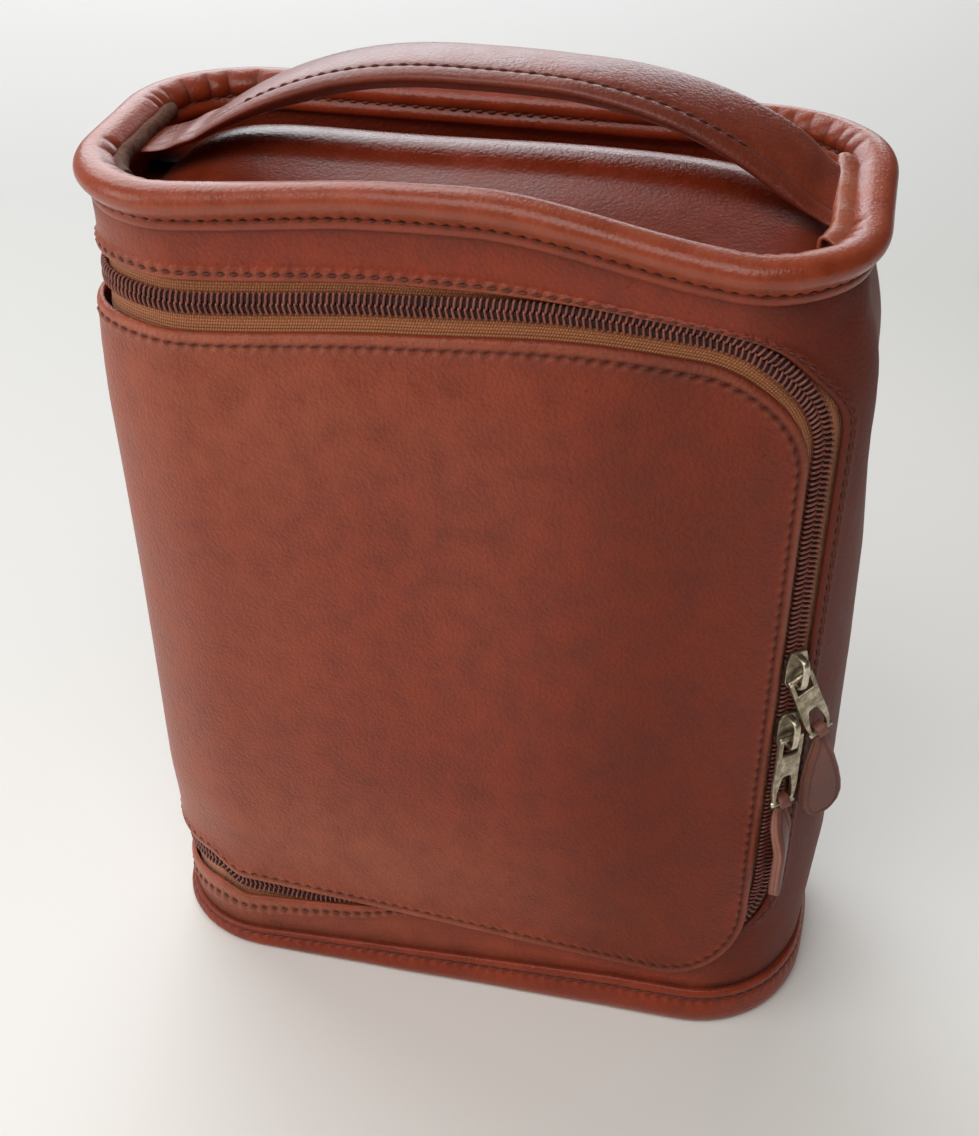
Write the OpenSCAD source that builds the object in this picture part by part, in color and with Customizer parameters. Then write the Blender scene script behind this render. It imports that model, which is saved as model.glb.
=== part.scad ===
// Upright leather toiletry bag: a soft leather body with a recessed top and an arched
// handle, and a padded front flap that a two-way zip closes on three sides.
// Millimetres. +X is to the right, the flap faces -Y, +Z is up, and the origin is the
// middle of the base, on the surface that the bag stands on.

/* [Body] */
// Width of the bag across the leather at its base
body_w = 190; // [170:1:230]
// Depth of the bag across the leather at its base
body_d = 83; // [72:1:110]
// Height of the rolled rim's middle at the front
rim_height = 246; // [236:1:300]
// Radius of the four upright corners in plan
corner_r = 30; // [24:0.5:34]
// How far the right side swells at mid height
side_bulge = 5; // [0:0.5:8]
// How far the body draws in under the rim
neck_in = 1.5; // [0:0.5:3]
// Thickness of the outer leather
leather_t = 1.6; // [1:0.1:2.4]
// Thickness of the cloth lining
lining_t = 0.8; // [0.5:0.1:1.2]
// Clearance between two layers of one wall
layer_gap = 0.2; // [0.1:0.05:0.4]

/* [Front opening] */
// Height of the opening's lower edge
opening_bottom = 14; // [12:0.5:20]
// Gap from the opening's upper edge up to the rim's middle
opening_to_rim = 18; // [16:0.5:24]
// Gap from the opening's right edge to the side of the bag
opening_to_side = 7.5; // [6.5:0.5:12]
// Radius of the opening's two right corners
opening_r = 32; // [24:1:45]
// Width of the zip above the flap
zip_top_w = 12; // [10:0.5:16]
// Width of the zip below the flap
zip_bottom_w = 8; // [7:0.5:12]
// Width of the zip beside the flap, seen from the front
zip_side_w = 7; // [6.5:0.5:9]
// How far the flap stands proud of the body leather
flap_proud = 1.5; // [1:0.1:2.5]
// How far the hinge lies behind the middle of the left side
hinge_y = 4; // [0:0.5:8]

/* [Zip] */
// Thickness of the zip tape
tape_t = 0.8; // [0.5:0.1:1]
// Length of a slider's plates
slider_l = 11; // [9:0.5:13]
// Thickness of a slider's plates
slider_plate_t = 1.2; // [1:0.1:1.4]
// Height of the upper slider's middle
upper_slider_z = 132; // [120:1:150]
// Distance between the two sliders' middles
slider_pitch = 20; // [17:0.5:30]
// Length of a metal pull from its bar to its eye
pull_l = 22.5; // [20:0.5:30]
// Radius of the bar that a pull swings on
pull_bar_r = 0.8; // [0.6:0.05:0.9]
// Length of a leather pull tab below the metal pull's eye
tab_l = 31; // [20:1:40]
// Widest part of a leather pull tab
tab_w = 12.5; // [8:0.5:16]

/* [Rim and binding] */
// Radius of the rolled rim
rim_r = 5; // [4:0.1:6]
// Radius of the cord inside the rim
cord_r = 2.8; // [2:0.1:3.2]
// How far the rim dips at the right front corner
rim_dip_right = 7.5; // [0:0.5:8]
// How far the rim dips at the left front corner
rim_dip_left = 3; // [0:0.5:6]
// How far the rim is lower at the back
rim_dip_back = 3; // [0:0.5:5]
// Height of the binding round the base
binding_h = 10; // [8:0.5:11]
// Thickness of the binding
binding_t = 2; // [1.5:0.1:3]
// Height of the crowned top panel's ridge above its edge
crown_h = 10; // [6:0.5:12]

/* [Handle] */
// Length of the handle between its two sewn ends
handle_l = 148; // [130:1:160]
// Width of the handle strap
handle_w = 24; // [18:0.5:28]
// Thickness of the handle strap
handle_t = 6; // [5:0.5:8]
// Height of the handle's top above the rim's middle
handle_rise = 21; // [18:0.5:30]

/* [Hidden] */

// Plan outline: arcs per corner, and points along the long and the short sides
corner_steps = 8;
long_steps = 8;
short_steps = 4;
arc_x = body_w / 2 - corner_r;
arc_y = body_d / 2 - corner_r;
// The side swells between the points where the corners face 60 degrees
swell_reach = arc_y + corner_r / 2;
// Heights where the lofted walls turn: along the side's swelling, then along the neck
swell_steps = 9;
neck_low = rim_height - 51;
neck_high = rim_height - 21;
neck_steps = 4;
running_gap = 0.3;

// Depths of the wall's layers below the leather's face, as plan offsets
tape_out = -leather_t - layer_gap;
tape_in = tape_out - tape_t;
lining_out = tape_in - 3 * layer_gap;
lining_in = lining_out - lining_t;

// Edges of the opening (share 0) and of the flap (share 1), seen from the front
opening_right = body_w / 2 - opening_to_side;
opening_top = rim_height - opening_to_rim;
chain_gap = 0.06;
coil_share = 0.22;
tape_hidden = 0.3;
coil_top = -0.1;

// Shares at which the linings and the flap's folded edge end, and how far behind the
// hinge line that fold reaches
lining_share = 0.05;
flap_lining_share = 1.25;
flap_fold_share = 1.8;
flap_fold_back = 12;

// The chain's place beside the flap, and the way that it faces
zip_x = opening_right - zip_side_w / 2;
zip_face = asin((zip_x - arc_x) / corner_r);
zip_y = -arc_y - corner_r * cos(zip_face);
lower_slider_z = upper_slider_z - slider_pitch;

// The rim's path lies inside the leather's face by this much
rim_in = rim_r / 2;
panel_edge_z = rim_height - 14;
panel_out = lining_in - layer_gap;
facing_t = 1.6;

// The handle's arch
handle_mid_x = -8;
handle_end_x = handle_l / 2;
handle_foot_x = 6;
handle_foot_z = rim_height - 5;
arch_power_left = 2.3;
arch_power_right = 3;
strap_leather_t = 1.3;
strap_steps = 36;

// A foot of the handle: its thickness, and how its top and bottom slope towards the rim
foot_t = 3.6;
foot_share = 0.7;
foot_slope = 1.5;
foot_nose = 4.5;

function clamp01(v) = max(0, min(1, v));
function ease(v, from, to) = let (t = clamp01((v - from) / (to - from))) t * t * (3 - 2 * t);
function mix(a, b, t) = a + (b - a) * t;
function swell(z) = 1 - pow((z - rim_height / 2) / (rim_height / 2), 2);

function corner(cx, cy, from, r) = [
    for (i = [0 : corner_steps]) let (a = from + 90 * i / corner_steps)
        [cx + r * cos(a), cy + r * sin(a)]];
function between(a, b, n) = [for (i = [1 : n - 1]) mix(a, b, i / n)];

// The plan outline, counter-clockwise from above, moved out by the given amount
function outline(out) = let (r = corner_r + out)
    concat(
        corner(arc_x, arc_y, 0, r),
        between([arc_x, arc_y + r], [-arc_x, arc_y + r], long_steps),
        corner(-arc_x, arc_y, 90, r),
        between([-arc_x - r, arc_y], [-arc_x - r, -arc_y], short_steps),
        corner(-arc_x, -arc_y, 180, r),
        between([-arc_x, -arc_y - r], [arc_x, -arc_y - r], long_steps),
        corner(arc_x, -arc_y, 270, r),
        between([arc_x + r, -arc_y], [arc_x + r, arc_y], short_steps));

// A plan point carried to height z, with the right side's swelling
function at_height(p, z) = let (
    near = p.x > arc_x ? clamp01(1 - abs(p.y) / swell_reach) : 0,
    push = side_bulge * swell(z) * (1 - cos(180 * near)) / 2)
    [p.x + push, p.y, z];

// How far the walls are drawn in towards the neck at height z
function neck(z) = neck_in * ease(z, neck_low, neck_high);

// The heights of a wall's rings from z0 to z1; flat walls leave the swelling out
function wall_levels(z0, z1, flat) = let (
    turns = concat(
        flat ? [] : [for (k = [1 : swell_steps - 3]) rim_height * k / swell_steps],
        [for (k = [0 : neck_steps]) mix(neck_low, neck_high, k / neck_steps)]))
    concat([z0], [for (z = turns) if (z > z0 + 0.5 && z < z1 - 0.5) z], [z1]);

// How far the rim lies above or below rim_height at a plan point
function rim_wave(x, y) = let (
    front = -rim_dip_right * ease(x, 5, 75) - rim_dip_left * ease(-x, 15, 75),
    back = -rim_dip_back)
    mix(front, back, ease(y, -25, 25));

// Triangles between ring k and ring k + 1 of n points each
function band_faces(k, n) = [for (i = [0 : n - 1], half = [0, 1]) let (
    a = k * n + i, b = k * n + (i + 1) % n)
    half == 0 ? [a, b, a + n] : [b, b + n, a + n]];

// A solid that fills the plan outline from z0 up to z1; a wavy top follows the rim
module filled(out, z0, z1, wavy = false, flat = false) {
    levels = wall_levels(z0, z1, flat);
    last = len(levels) - 1;
    rings = [for (k = [0 : last]) let (z = levels[k])
        [for (p = outline(out - neck(z)))
            at_height(p, z) + [0, 0, wavy && k == last ? rim_wave(p.x, p.y) : 0]]];
    n = len(rings[0]);
    points = concat([for (ring = rings) each ring],
        [[0, 0, z0], [0, 0, z1 - (wavy ? rim_dip_back : 0)]]);
    low = len(points) - 2;
    high = len(points) - 1;
    faces = concat(
        [for (k = [0 : last - 1]) each band_faces(k, n)],
        [for (i = [0 : n - 1]) [(i + 1) % n, i, low]],
        [for (i = [0 : n - 1]) [last * n + i, last * n + (i + 1) % n, high]]);
    polyhedron(points, [for (f = faces) [f[2], f[1], f[0]]]);
}

// A wall between two offsets of the plan outline
module wall(out, in, z0, z1, wavy = false, flat = false) {
    difference() {
        filled(out, z0, z1, wavy, flat);
        filled(in, z0 - 2, z1 + 2, wavy, flat);
    }
}

// The opening's outline at share t of the way from its own edge (0) to the flap's (1)
function opening_points(t) = let (
    right = opening_right - zip_side_w * t,
    low = opening_bottom + zip_bottom_w * t,
    high = opening_top - zip_top_w * t,
    r = opening_r - zip_side_w * t)
    concat([[-body_w, high], [-body_w, low]],
        [for (i = [0 : 6]) [right - r + r * sin(15 * i), low + r - r * cos(15 * i)]],
        [for (i = [0 : 6]) [right - r + r * cos(15 * i), high - r + r * sin(15 * i)]]);

// All that lies in front of the hinge, inside that outline
module opening_block(t, back = 0) {
    depth = body_d / 2 + 10 + hinge_y - back;
    translate([0, hinge_y - back, 0]) rotate([90, 0, 0])
        linear_extrude(height = depth) polygon(opening_points(t));
}

// A strip that runs round the opening between two shares, from one depth to another
module zip_strip(out, in, t0, t1) {
    intersection() {
        wall(out, in, binding_h / 2, opening_top + 10, flat = true);
        difference() {
            opening_block(t0, running_gap);
            opening_block(t1, -1);
        }
    }
}

module body_wrap() {
    color([0.52, 0.24, 0.15]) difference() {
        wall(0, -leather_t, 0, rim_height - rim_r - layer_gap, true);
        opening_block(0);
    }
}

// The leather strip sewn over the hinge line, behind the flap's left edge
module hinge_strip() {
    strip_w = 12;
    strip_t = 1;
    strip_z0 = opening_bottom + zip_bottom_w + 6;
    strip_z1 = opening_top - zip_top_w - 8;
    color([0.46, 0.21, 0.13])
        translate([-body_w / 2 - layer_gap - strip_t, hinge_y + running_gap, strip_z0])
            cube([strip_t, strip_w, strip_z1 - strip_z0]);
}

// The raised raw-edged seam that joins the wrap's two ends at the right of the back
module back_seam_welt() {
    seam_face = 35;
    seam_w = 1.6;
    seam_h = 2;
    seam_r = corner_r + layer_gap;
    z1 = rim_height - 60;
    color([0.40, 0.18, 0.11])
        translate([arc_x, arc_y, binding_h + 1]) rotate([0, 0, seam_face])
            translate([seam_r, -seam_w / 2, 0]) cube([seam_h, seam_w, z1 - binding_h]);
}

module body_lining() {
    z0 = bottom_stack_z;
    z1 = opening_top + 2;
    color([0.23, 0.16, 0.13]) difference() {
        filled(lining_out, z0, z1);
        filled(lining_in, z0 + lining_t, z1 - lining_t);
        opening_block(lining_share);
    }
}

// The flat board that stiffens the back between the leather and the lining
module back_board() {
    board_z0 = bottom_stack_z + 4;
    color([0.75, 0.70, 0.60])
        translate([-arc_x, arc_y + corner_r - leather_t - layer_gap - tape_t, board_z0])
            cube([2 * arc_x, tape_t, rim_height - 60 - board_z0]);
}

// An open-topped slip pocket on the lining of the back wall
module inner_pocket() {
    pocket_h = 110;
    pocket_z = 22;
    color([0.27, 0.19, 0.15])
        translate([-arc_x + 2, arc_y + corner_r + lining_in - 2.2, pocket_z])
            difference() {
                cube([2 * arc_x - 4, 2, pocket_h]);
                translate([1.5, 0.8, 1.5]) cube([2 * arc_x - 7, 2, pocket_h]);
            }
}

panel_t = 2;
bottom_stack_z = panel_t + layer_gap + 2 + layer_gap;

module bottom_panel() {
    color([0.45, 0.20, 0.13]) filled(-leather_t - layer_gap, 0, panel_t);
}

module bottom_board() {
    color([0.75, 0.70, 0.60])
        filled(-leather_t - layer_gap, panel_t + layer_gap, panel_t + layer_gap + 2);
}

module bottom_binding() {
    color([0.50, 0.23, 0.15]) difference() {
        filled(binding_t + layer_gap, 0, binding_h);
        filled(layer_gap, -1, binding_h + 1);
    }
}

function crown(x, y) = crown_h
    * (1 - pow(clamp01(abs(x) / (handle_end_x + 2)), 4))
    * (1 - pow(clamp01(abs(y - 4) / (body_d / 2 - 5)), 2.2));

// The crowned leather top, sunk inside the rim
module top_panel() {
    rings = 6;
    ring = outline(panel_out - neck_in);
    n = len(ring);
    sheet = [for (k = [1 : rings], p = ring) let (q = p * k / rings)
        [q.x, q.y, panel_edge_z + crown(q.x, q.y)]];
    low = [for (p = sheet) p - [0, 0, leather_t]];
    middle = [0, 0, panel_edge_z + crown(0, 0)];
    count = rings * n;
    points = concat(sheet, low, [middle, middle - [0, 0, leather_t]]);
    top_faces = concat(
        [for (i = [0 : n - 1]) [i, (i + 1) % n, 2 * count]],
        [for (k = [0 : rings - 2], f = band_faces(k, n)) [f[2], f[1], f[0]]]);
    low_faces = [for (f = top_faces) [for (j = [2, 1, 0])
        f[j] == 2 * count ? 2 * count + 1 : f[j] + count]];
    edge = (rings - 1) * n;
    edge_faces = [for (i = [0 : n - 1], half = [0, 1]) let (
        a = edge + i, b = edge + (i + 1) % n)
        half == 0 ? [a, a + count, b] : [b, a + count, b + count]];
    color([0.45, 0.20, 0.13])
        polyhedron(points, [for (f = concat(top_faces, low_faces, edge_faces)) [f[2], f[1], f[0]]]);
}

// The leather facing inside the rim, down to the top panel
module rim_facing() {
    tape_top = opening_top + zip_top_w * tape_hidden;
    color([0.42, 0.19, 0.12])
        wall(tape_out, tape_out - facing_t, tape_top + 2 * layer_gap,
            rim_height - rim_r - layer_gap, true);
}

// A section given as [outwards, up] points, swept round the rim's path
module rim_sweep(section) {
    path = outline(-rim_in);
    n = len(path);
    m = len(section);
    rings = [for (i = [0 : n - 1]) let (
        p = path[i],
        d = path[(i + 1) % n] - path[(i + n - 1) % n],
        side = [d.y, -d.x] / norm(d))
        [for (q = section)
            [p.x + side.x * q.x, p.y + side.y * q.x, rim_height + rim_wave(p.x, p.y) + q.y]]];
    faces = [for (i = [0 : n - 1], j = [0 : m - 1], half = [0, 1]) let (
        a = i * m + j, b = i * m + (j + 1) % m,
        c = ((i + 1) % n) * m + j, e = ((i + 1) % n) * m + (j + 1) % m)
        half == 0 ? [a, c, b] : [b, c, e]];
    polyhedron([for (ring = rings) each ring], faces);
}

function arc_points(r, from, to, n) = [for (j = [0 : n]) let (a = mix(from, to, j / n))
    [r * cos(a), r * sin(a)]];

// Leather rolled round the cord, with its two edges a little apart underneath
module top_rim() {
    seam = 22;
    color([0.55, 0.26, 0.17]) rim_sweep(concat(
        arc_points(rim_r, -90 + seam, 270 - seam, 9),
        arc_points(cord_r + layer_gap, 270 - seam, -90 + seam, 7)));
}

module rim_cord() {
    color([0.80, 0.76, 0.66]) rim_sweep([for (j = [0 : 7]) let (a = 45 * j + 22.5)
        [cord_r * cos(a), cord_r * sin(a)]]);
}

module zip_tape_body() {
    color([0.45, 0.25, 0.12]) zip_strip(tape_out, tape_in, -tape_hidden, 0.5 - chain_gap);
}

module zip_coil_body() {
    color([0.22, 0.12, 0.10])
        zip_strip(coil_top, tape_out + layer_gap / 2, 0.5 - coil_share, 0.5 - chain_gap);
}

// The stitched leather stop over one end of the zip, behind the hinge line
module zip_end(z) {
    end_w = 10;
    end_l = 7.5;
    end_t = 1.2;
    low = z - end_w / 2;
    color([0.44, 0.20, 0.13])
        translate([-body_w / 2 + neck(low) - layer_gap - end_t, hinge_y + running_gap, low])
            cube([end_t, end_l, end_w]);
}

module zip_end_upper() {
    zip_end(opening_top - zip_top_w / 2);
}

module zip_end_lower() {
    zip_end(opening_bottom + zip_bottom_w / 2);
}

// The arch of the handle's top face, which stays high longer on the right
function arch(x) = let (
    right = x > handle_mid_x,
    reach = handle_end_x + handle_foot_x + (right ? -handle_mid_x : handle_mid_x),
    share = clamp01(abs(x - handle_mid_x) / reach),
    power = right ? arch_power_right : arch_power_left)
    handle_foot_z + (rim_height + handle_rise - handle_foot_z) * (1 - pow(share, power));

// A strap that follows the arch, thin at its edges and full in the middle of its underside
module strap(w, t) {
    x1 = handle_end_x + 4;
    soft = t / 6;
    edge_z = t * 0.1;
    flat_w = w * 0.7;
    section = [[-w / 2, edge_z], [-flat_w / 2, -t / 2], [flat_w / 2, -t / 2], [w / 2, edge_z],
        [w / 2, t / 2 - soft], [w / 2 - soft, t / 2], [-w / 2 + soft, t / 2],
        [-w / 2, t / 2 - soft]];
    n = len(section);
    rings = [for (k = [0 : strap_steps]) let (
        x = mix(-x1, x1, k / strap_steps),
        slope = atan2(arch(x + 0.5) - arch(x - 0.5), 1),
        z = arch(x) - handle_t / 2)
        [for (s = section) [x - s[1] * sin(slope), s[0], z + s[1] * cos(slope)]]];
    faces = concat(
        [[for (j = [n - 1 : -1 : 0]) j]],
        [for (k = [0 : strap_steps - 1]) each band_faces(k, n)],
        [[for (j = [0 : n - 1]) strap_steps * n + j]]);
    polyhedron([for (ring = rings) each ring], [for (f = faces) [for (j = [len(f) - 1 : -1 : 0]) f[j]]]);
}

// A strap of that section whose ends are cut square, this far in from the handle's ends
module cut_strap(w, t, short) {
    x1 = handle_end_x - short;
    intersection() {
        strap(w, t);
        translate([-x1, -handle_w, handle_foot_z - 20]) cube([2 * x1, 2 * handle_w, 60]);
    }
}

module handle_strap() {
    color([0.50, 0.25, 0.18]) difference() {
        cut_strap(handle_w, handle_t, 0);
        strap(handle_w - 2 * leather_t - 2 * layer_gap, handle_t - 2 * strap_leather_t);
    }
}

module handle_core() {
    color([0.30, 0.30, 0.30])
        cut_strap(handle_w - 2 * leather_t - 4 * layer_gap,
            handle_t - 2 * strap_leather_t - 2 * layer_gap, 0.5);
}

// A folded leather foot between the strap's end, whose top is at height up, and the facing
module handle_foot(up) {
    foot_in = handle_end_x + running_gap;
    foot_out = body_w / 2 + tape_out - facing_t - neck_in - layer_gap;
    foot_w = handle_w * 0.92;
    beside_rim = body_w / 2 - rim_in - rim_r - layer_gap;
    shoulder = mix(foot_in, beside_rim, foot_share);
    under_rim = rim_height - (rim_dip_right + rim_dip_back) / 2 - rim_r - 2 * layer_gap;
    low = panel_edge_z + 3 * layer_gap;
    color([0.46, 0.21, 0.14])
        translate([0, foot_w / 2, 0]) rotate([90, 0, 0]) linear_extrude(height = foot_w)
            polygon([[foot_in, up - foot_t], [foot_in, up], [shoulder, up - foot_slope],
                [beside_rim, up - foot_nose], [beside_rim, under_rim], [foot_out, under_rim],
                [foot_out, low], [shoulder, low]]);
}

module handle_end_left() {
    mirror([1, 0, 0]) handle_foot(arch(-handle_end_x));
}

module handle_end_right() {
    handle_foot(arch(handle_end_x));
}

module flap_leather() {
    color([0.56, 0.27, 0.17]) difference() {
        intersection() {
            wall(flap_proud, -leather_t, opening_bottom, opening_top, flat = true);
            opening_block(1, running_gap);
        }
        intersection() {
            wall(0, -2 * leather_t, opening_bottom, opening_top, flat = true);
            opening_block(flap_fold_share, flap_fold_back);
        }
    }
}

module flap_board() {
    color([0.75, 0.70, 0.60]) intersection() {
        wall(-layer_gap, -leather_t + layer_gap, opening_bottom, opening_top, flat = true);
        opening_block(flap_fold_share + 0.06, flap_fold_back + 0.5);
    }
}

module flap_lining() {
    color([0.23, 0.16, 0.13]) intersection() {
        wall(tape_in - layer_gap, tape_in - layer_gap - lining_t, opening_bottom, opening_top,
            flat = true);
        opening_block(flap_lining_share, running_gap);
    }
}

module zip_tape_flap() {
    color([0.45, 0.25, 0.12]) zip_strip(tape_out, tape_in, 0.5 + chain_gap, 1 + tape_hidden);
}

module zip_coil_flap() {
    color([0.22, 0.12, 0.10])
        zip_strip(coil_top, tape_out + layer_gap / 2, 0.5 + chain_gap, 0.5 + coil_share);
}

// Places a piece on the chain beside the flap: its -Y then faces out of the leather
module on_chain(z) {
    translate([zip_x, zip_y, z]) rotate([0, 0, zip_face]) children();
}

slider_half_w = 3.2;
slider_face = 0.3;
slider_under = -tape_in + 2 * layer_gap;
bridge_h = 3.8;
bridge_half_w = 0.9;
bridge_bar = 1.1;
bar_gap = 0.7;
bar_y = -(slider_face + slider_plate_t + bar_gap + pull_bar_r);
bar_z = -1.6;
pull_half_w = 3.6;
pull_flare = 0.4;
pull_arm_w = 1.1;
pull_crotch = 6;
pull_t = 1.4;
eye_r = 0.9;
// The upper pull hangs beside the lower slider, this far off the upright, and its tab
// leans back towards the upright
upper_pull_tilt = 24;
upper_tab_lean = 16;

// One plate of a slider, drawn in at its heel, with its wide nose at +Z
module slider_plate(y0, y1) {
    w = slider_half_w;
    h = slider_l / 2;
    translate([0, y1, 0]) rotate([90, 0, 0]) linear_extrude(height = y1 - y0)
        polygon([[-w + 0.9, -h], [w - 0.9, -h], [w, -h + 2.5], [w, h - 1.5], [w - 1.2, h],
            [-w + 1.2, h], [-w, h - 1.5], [-w, -h + 2.5]]);
}

// The post between a slider's plates. It slants as the gap between the two coils does,
// because the opening is cut straight back and the chain faces half sideways.
module slider_post() {
    half_w = 0.25;
    post_l = 2;
    y0 = -slider_face - 0.2;
    y1 = slider_under + 0.2;
    slant = tan(zip_face);
    translate([0, 0, slider_l / 2 - 0.6 - post_l]) linear_extrude(height = post_l)
        polygon([[y0 * slant - half_w, y0], [y0 * slant + half_w, y0],
            [y1 * slant + half_w, y1], [y1 * slant - half_w, y1]]);
}

// A slider with its nose at +Z: two plates round the chain, their post and side flanges
module slider() {
    top = -slider_face - slider_plate_t;
    slider_plate(top, -slider_face);
    slider_plate(slider_under, slider_under + 1);
    slider_post();
    flange_t = 0.6;
    flange_d = 0.85;
    for (side = [-1, 1])
        translate([side * (slider_half_w - flange_t / 2) - flange_t / 2, -slider_face - 0.2,
            -slider_l / 2 + 2.5])
            cube([flange_t, flange_d, slider_l - 4.5]);
}

// The bridge on a slider's top plate that the pull's bar passes under
module bridge() {
    top = -slider_face - slider_plate_t;
    foot = top + 0.2;
    reach = 4.3;
    translate([-bridge_half_w, 0, 0]) rotate([90, 0, 90]) linear_extrude(height = 2 * bridge_half_w)
        polygon([[foot, -reach], [top - bridge_h + 1, -reach], [top - bridge_h, -reach + 1.4],
            [top - bridge_h, reach - 1.4], [top - bridge_h + 1, reach], [foot, reach],
            [foot, reach - 1.4], [top - bridge_h + bridge_bar, reach - 1.4],
            [top - bridge_h + bridge_bar, -reach + 1.4], [foot, -reach + 1.4]]);
}

module slider_upper() {
    color([0.50, 0.44, 0.30]) on_chain(upper_slider_z) {
        mirror([0, 0, 1]) slider();
        bridge();
    }
}

module slider_lower() {
    color([0.50, 0.44, 0.30]) on_chain(lower_slider_z) {
        slider();
        bridge();
    }
}

// A metal pull that hangs from its bar at the origin, with an eye at its lower end
module metal_pull() {
    w = pull_half_w;
    hole_w = 2.3;
    rotate([0, 90, 0]) cylinder(h = 2 * w, r = pull_bar_r, center = true, $fn = 24);
    for (side = [0, 1]) mirror([side, 0, 0])
        translate([w - pull_arm_w, -pull_t / 2, -pull_crotch - 1])
            cube([pull_arm_w, pull_t, pull_crotch + 1]);
    translate([0, pull_t / 2, 0]) rotate([90, 0, 0]) linear_extrude(height = pull_t)
        difference() {
            polygon([[-w, -pull_crotch], [-w - pull_flare, -pull_l + 4], [-w, -pull_l],
                [w, -pull_l], [w + pull_flare, -pull_l + 4], [w, -pull_crotch]]);
            polygon([[-1.5, -pull_l + 10], [-hole_w, -pull_l + 4], [-hole_w, -pull_l - 1],
                [hole_w, -pull_l - 1], [hole_w, -pull_l + 4], [1.5, -pull_l + 10]]);
        }
    translate([0, 0, -pull_l]) rotate([0, 90, 0])
        cylinder(h = 2 * w, r = eye_r, center = true, $fn = 24);
}

// Places a piece at the bar of the slider at height z, hanging off the upright by an angle
module on_bar(z, tilt) {
    on_chain(z) translate([0, bar_y, bar_z]) rotate([0, -tilt, 0]) children();
}

module pull_upper() {
    color([0.52, 0.46, 0.32]) on_bar(upper_slider_z, upper_pull_tilt) metal_pull();
}

module pull_lower() {
    color([0.52, 0.46, 0.32]) on_bar(lower_slider_z, 0) metal_pull();
}

// A leather tab folded through the eye at the origin, with its rounded end hanging down
// and leaning by an angle
module leather_tab(lean) {
    loop_in = eye_r + running_gap;
    layer = 1.1;
    neck_w = 1.6;
    neck_top = -loop_in - 0.6;
    end_r = tab_w / 2;
    body_t = 3;
    rotate([0, 90, 0]) difference() {
        cylinder(h = 2 * neck_w, r = loop_in + layer, center = true, $fn = 32);
        cylinder(h = 2 * neck_w + 1, r = loop_in, center = true, $fn = 32);
    }
    translate([0, body_t / 2, 0]) rotate([90, 0, 0]) linear_extrude(height = body_t)
        rotate(-lean) polygon(concat(
            [[-neck_w, neck_top], [-2.6, -4], [-end_r * 0.86, -tab_l + end_r * 1.9]],
            [for (a = [-180 : 15 : 0]) [end_r * cos(a), -tab_l + end_r + end_r * sin(a)]],
            [[end_r * 0.86, -tab_l + end_r * 1.9], [2.6, -4], [neck_w, neck_top]]));
}

module pull_tab_upper() {
    color([0.36, 0.17, 0.12]) on_bar(upper_slider_z, upper_pull_tilt)
        translate([0, 0, -pull_l]) leather_tab(upper_tab_lean);
}

module pull_tab_lower() {
    color([0.36, 0.17, 0.12]) on_bar(lower_slider_z, 0)
        translate([0, 0, -pull_l]) leather_tab(0);
}

body_wrap();
hinge_strip();
back_seam_welt();
body_lining();
back_board();
inner_pocket();
bottom_panel();
bottom_board();
bottom_binding();
top_panel();
rim_facing();
top_rim();
rim_cord();
zip_tape_body();
zip_coil_body();
zip_end_upper();
zip_end_lower();
handle_end_left();
handle_end_right();
handle_strap();
handle_core();
flap_leather();
flap_board();
flap_lining();
zip_tape_flap();
zip_coil_flap();
slider_upper();
slider_lower();
pull_upper();
pull_lower();
pull_tab_upper();
pull_tab_lower();
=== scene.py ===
# %% [markdown]
# # A leather toiletry bag
#
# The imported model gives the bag's true sizes and everything that moves. These cells put the looks
# round it: sheets of soft leather with turned edges, rows of stitches, a nylon coil zip and cast
# sliders. Lengths are written in millimetres and turned into metres where a mesh is made.

# %% Load the frame
import math
import random

import bpy
import numpy as np
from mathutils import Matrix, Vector, geometry


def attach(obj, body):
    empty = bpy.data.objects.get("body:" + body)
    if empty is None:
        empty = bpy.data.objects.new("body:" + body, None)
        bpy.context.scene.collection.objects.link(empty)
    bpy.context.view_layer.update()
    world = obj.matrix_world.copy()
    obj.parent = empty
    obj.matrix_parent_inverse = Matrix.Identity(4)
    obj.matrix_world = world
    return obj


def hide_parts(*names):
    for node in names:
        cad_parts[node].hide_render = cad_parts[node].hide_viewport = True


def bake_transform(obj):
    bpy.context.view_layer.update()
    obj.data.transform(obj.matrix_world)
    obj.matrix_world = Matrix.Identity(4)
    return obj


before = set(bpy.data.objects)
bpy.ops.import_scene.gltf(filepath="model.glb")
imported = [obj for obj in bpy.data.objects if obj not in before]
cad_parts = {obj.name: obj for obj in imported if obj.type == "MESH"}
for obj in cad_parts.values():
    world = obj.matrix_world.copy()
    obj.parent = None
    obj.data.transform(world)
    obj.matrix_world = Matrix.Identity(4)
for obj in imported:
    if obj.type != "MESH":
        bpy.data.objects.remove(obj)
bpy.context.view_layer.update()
MM = 0.001
TAU = 2 * math.pi
print("frame:", len(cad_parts), "nodes")

# %% [markdown]
# ## Short ways to write a node tree
#
# The room, the floor and every finish are node trees. They could be drawn in the shader editor, but a
# script can be read, changed and run again. Each helper adds one kind of node and links or fills its
# inputs, so a tree reads like a sum.

# %% Node helpers


def put(tree, kind, inputs=None, **settings):
    """Adds a node, sets it, and links or fills its inputs."""
    node = tree.nodes.new(kind)
    for key, value in settings.items():
        setattr(node, key, value)
    for socket, value in (inputs or {}).items():
        target = node.inputs[socket]
        if isinstance(value, bpy.types.NodeSocket):
            tree.links.new(value, target)
        else:
            target.default_value = value
    return node


def calc(tree, operation, a, b=0.5, clamp=False):
    return put(tree, "ShaderNodeMath", {0: a, 1: b}, operation=operation, use_clamp=clamp).outputs[0]


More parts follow.
